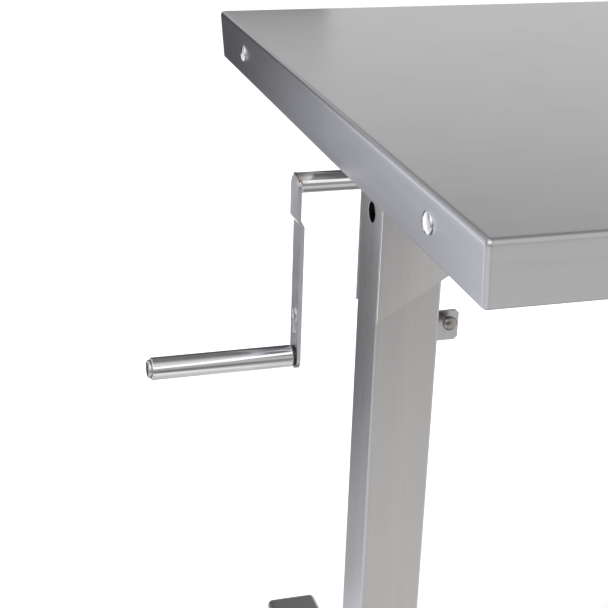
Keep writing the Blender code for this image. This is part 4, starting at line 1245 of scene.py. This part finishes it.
studio = {  # levels of brightness
    "horizon": 0.95, "ground": 0.50, "groundRight": 0.2, "left": 1.28, "farLeft": 0.72, "leftHigh": 0.7,
    "right": 0.88, "farRight": 0.60, "gloom": 0.13, "gloomLeft": 0.2,
    "ceiling": 0.42, "rightCeiling": 0.10, "farCeiling": 0.15,
    "frontDim": 0.62, "dimLeft": 0.5, "frontFloor": 1.0, "floorRight": 0.8, "frontHigh": 0.72,
    "frontMiddle": 0.82, "frontLeft": 0.35, "frontLow": 0.76, "frontTop": 0.65, "under": 0.45,
    "glow": 0.8, "glowAt": (-0.35, -0.50, 0.79), "backdrop": 1.0,
    "cool": (0.965, 0.98, 1.045, 1), "neutral": (1.0, 0.985, 0.985, 1),
}
bands = {  # where each change of level starts and ends, on one axis of the look
    "groundSide": (-0.1, 0.1), "groundRise": (-0.25, 0.0), "wallTop": (0.25, 0.43),
    "leftStart": (-0.24, -0.42), "leftFade": (-0.50, -0.80), "leftHigh": (-0.20, 0.08),
    "ceilingStart": (0.47, 0.68), "ceilingSide": (0.05, 0.18), "ceilingFar": (0.32, 0.46),
    "gloomSide": (0.10, -0.15), "dimSide": (0.20, 0.44), "floorSide": (0.33, 0.43),
    "floorStart": (-0.37, -0.55), "frontHigh": (-0.12, 0.15), "middleSide": (0.1, 0.32),
    "frontLeft": (0.05, -0.35), "frontLow": (-0.51, -0.62), "frontTop": (0.80, 0.95),
    "toFront": (0.2, -0.2), "rightStart": (0.52, 0.72), "rightFade": (0.75, 0.95),
    "under": (-0.78, -0.92), "glow": (0.72, 0.98), "cool": (0.1, -0.3),
}


def buildWorld():
    world = bpy.data.worlds.new("studio")
    world.use_nodes = True
    bpy.context.scene.world = world
    bench = Bench(world.node_tree)
    look = bench.node("ShaderNodeTexCoord", output="Generated")
    x, y, z = bench.parts(look)

    def band(value, name, low=0.0, high=1.0):
        return bench.ease(value, *bands[name], low, high)

    # behind the table: ground, pale wall, lit left side, dark ceiling
    ground = studio["ground"] + band(x, "groundSide", 0.0, studio["groundRight"])
    rise = band(z, "groundRise")
    behind = ground * (1 - rise) + studio["horizon"] * rise
    leftward = band(x, "leftStart")
    lit = band(x, "leftFade", studio["left"], studio["farLeft"])
    lit = lit * band(z, "leftHigh", 1.0, studio["leftHigh"])
    behind = behind * (1 - leftward) + lit * leftward
    ceiling = band(x, "ceilingSide", studio["ceiling"], studio["rightCeiling"])
    ceiling = ceiling + band(x, "ceilingFar", 0.0, studio["farCeiling"])
    gloom = studio["gloom"] + band(x, "gloomSide", 0.0, studio["gloomLeft"])
    gloom = gloom + band(z, "ceilingStart") * ceiling
    fall = band(z, "wallTop")
    behind = behind * (1 - fall) + gloom * fall

    # in front of it: floor, dim middle, lighter above
    dim = studio["frontDim"] * band(x, "dimSide", studio["dimLeft"], 1.0)
    floor = studio["frontFloor"] * band(x, "floorSide", 1.0, studio["floorRight"])
    ahead = dim + (floor - dim) * band(z, "floorStart")
    ahead = ahead + (studio["frontHigh"] - dim) * band(z, "frontHigh")
    across = band(x, "middleSide", studio["frontMiddle"], 1.0)
    across = across + band(x, "frontLeft", 0.0, studio["frontLeft"])
    ahead = ahead * across * band(z, "frontLow", 1.0, studio["frontLow"])
    ahead = ahead * band(z, "frontTop", 1.0, studio["frontTop"])

    toFront = band(y, "toFront")
    level = behind * (1 - toFront) + ahead * toFront
    rightward = band(x, "rightStart") * (1 - fall)
    right = band(x, "rightFade", studio["right"], studio["farRight"])
    level = level * (1 - rightward) + right * rightward
    level = level * band(z, "under", 1.0, studio["under"])
    facing = bench.vectors("DOT_PRODUCT", look, studio["glowAt"], output="Value")
    level = level + band(facing, "glow") * studio["glow"]
    seen = bench.node("ShaderNodeLightPath", output="Is Camera Ray")
    level = level * (1 - seen) + studio["backdrop"] * seen
    cool = band(x, "cool") * (1 - seen)
    background = world.node_tree.nodes["Background"]
    bench.feed(background.inputs["Strength"], level)
    bench.feed(background.inputs["Color"], bench.mix(cool, studio["neutral"], studio["cool"]))


card = {
    "corners": (
        (-1.02, -0.25), (-0.62, -0.25), (-0.60, 0.36), (-0.26, 0.62), (-0.26, 1.02), (-0.66, 1.02),
        (-0.68, 1.20), (-0.97, 1.20), (-0.92, 0.78), (-0.85, 0.62), (-0.88, 0.50), (-0.97, 0.40),
    ),
    "depth": 0.85, "dark": (0.065, 0.065, 0.072, 1), "pale": (0.40, 0.40, 0.42, 1),
    "paleBelow": (0.25, -0.15),
}


def buildCard():  # dark, behind the left end, seen only in the metal
    shape = bmesh.new()
    shape.faces.new([shape.verts.new((x, card["depth"], z)) for x, z in card["corners"]])
    item = loose(shape)
    item.name = "dark_card"
    finish = Finish("dark_card")
    height = finish.parts(finish.place)[2]
    tone = finish.mix(finish.ease(height, *card["paleBelow"]), card["dark"], card["pale"])
    finish.show(Base_Color=(0, 0, 0, 1), Roughness=1.0, Emission_Color=tone, Emission_Strength=1.0)
    item.data.materials.append(finish.skin)
    for ray in ("camera", "diffuse", "shadow", "transmission"):
        setattr(item, "visible_" + ray, False)


lamps = {
    "overhead": {"place": (0.2, -0.6, 3.2), "target": (0.0, 0, 0.9), "size": (3.0, 2.0), "power": 60},
    "leftPanel": {"place": (-2.8, -1.2, 1.6), "target": (-0.3, 0, 0.7), "size": (1.6, 2.0), "power": 30},
    "frontFill": {"place": (0.8, -3.2, 1.8), "target": (0.0, 0, 0.6), "size": (2.2, 1.6), "power": 35},
}
strips = (
    {"on": "grip_tube", "shift": (0.002, -0.0203, 0.0142), "size": (0.15, 0.0070), "level": 1.35},
    {"on": "crank_tube", "shift": (0, -0.0240, 0.0088), "size": (0.10, 0.011), "level": 1.25},
    {"on": "grip_tube", "shift": (0.002, -0.012, -0.03), "size": (0.15, 0.050), "level": 0.5},
    {"on": "crank_bar", "shift": (0.049, 0.27, -0.07), "size": (0.10, 0.10), "level": 1.8},
    {"on": "left_front_rivet_domed", "shift": (-0.085, 0.235, -0.092), "size": (0.085, 0.07), "level": 0.8},
    {"on": "left_rear_rivet_domed", "shift": (-0.085, 0.235, -0.092), "size": (0.085, 0.07), "level": 0.8},
    {"on": "left_front_gusset_plate", "shift": (-0.26, -0.03, -0.09), "size": (0.40, 0.24), "level": 1.9},
)


def softBox(name, place, target, size, power, inMetal=False):  # the metal mirrors only the strips
    lamp = bpy.data.lights.new(name, "AREA")
    lamp.shape = "RECTANGLE"
    lamp.size, lamp.size_y = size
    lamp.energy = power
    item = bpy.data.objects.new(name, lamp)
    bpy.context.scene.collection.objects.link(item)
    item.location = place
    item.rotation_euler = (Vector(target) - Vector(place)).to_track_quat("-Z", "Y").to_euler()
    item.visible_glossy = inMetal
    return item


def buildStrips():  # small lights that one bright piece each mirrors
    for strip in strips:
        target = bpy.data.objects[strip["on"]]
        corners = [target.matrix_world @ Vector(corner) for corner in target.bound_box]
        centre = sum(corners, Vector()) / len(corners)
        place = centre + Vector(strip["shift"])
        wide, tall = strip["size"]
        power = strip["level"] * math.pi * wide * tall
        item = softBox(strip["on"] + "_light", place, centre, strip["size"], power, True)
        only = bpy.data.collections.new(strip["on"] + "_lit")
        only.objects.link(target)
        item.light_linking.receiver_collection = only


paleFloor = {
    "size": 30, "shade": (0.90, 0.90, 0.90, 1), "pale": (0.94, 0.94, 0.94, 1), "tooth": 180.0,
    "roughness": 0.85, "glow": 0.35,
}


def buildFloor():
    shape = bmesh.new()
    bmesh.ops.create_grid(shape, x_segments=1, y_segments=1, size=paleFloor["size"])
    floor = loose(shape)
    floor.name = "floor"
    finish = Finish("pale_floor")
    finish.show(
        Base_Color=finish.mix(finish.noise(paleFloor["tooth"]), paleFloor["shade"], paleFloor["pale"]),
        Roughness=paleFloor["roughness"],
        Emission_Color=(1, 1, 1, 1),
        Emission_Strength=paleFloor["glow"],
    )
    floor.data.materials.append(finish.skin)
    floor.visible_glossy = False


shot = {
    "place": (-0.89366, -1.15755, 1.22179), "turn": 16.93, "dip": 22.89, "roll": -1.88,
    "focal": 1382.0, "frame": 608.0, "sensor": 36.0,
}


def buildCamera():
    turn, dip, roll = (math.radians(shot[key]) for key in ("turn", "dip", "roll"))
    ahead = Vector((math.sin(turn) * math.cos(dip), math.cos(turn) * math.cos(dip), -math.sin(dip)))
    right = Vector((math.cos(turn), -math.sin(turn), 0))
    down = ahead.cross(right)
    level = right * math.cos(roll) + down * math.sin(roll)
    plumb = down * math.cos(roll) - right * math.sin(roll)
    lens = bpy.data.cameras.new("camera")
    lens.sensor_width = shot["sensor"]
    lens.lens = shot["sensor"] * shot["focal"] / shot["frame"]
    camera = bpy.data.objects.new("camera", lens)
    bpy.context.scene.collection.objects.link(camera)
    spin = Matrix((level, -plumb, -ahead)).transposed().to_4x4()
    camera.matrix_world = Matrix.Translation(shot["place"]) @ spin
    bpy.context.scene.camera = camera


buildWorld()
for name, lamp in lamps.items():
    softBox(name, **lamp)
buildFloor()
buildCard()
buildStrips()
buildCamera()
bpy.context.scene.view_settings.view_transform = "Standard"
print("studio lit")
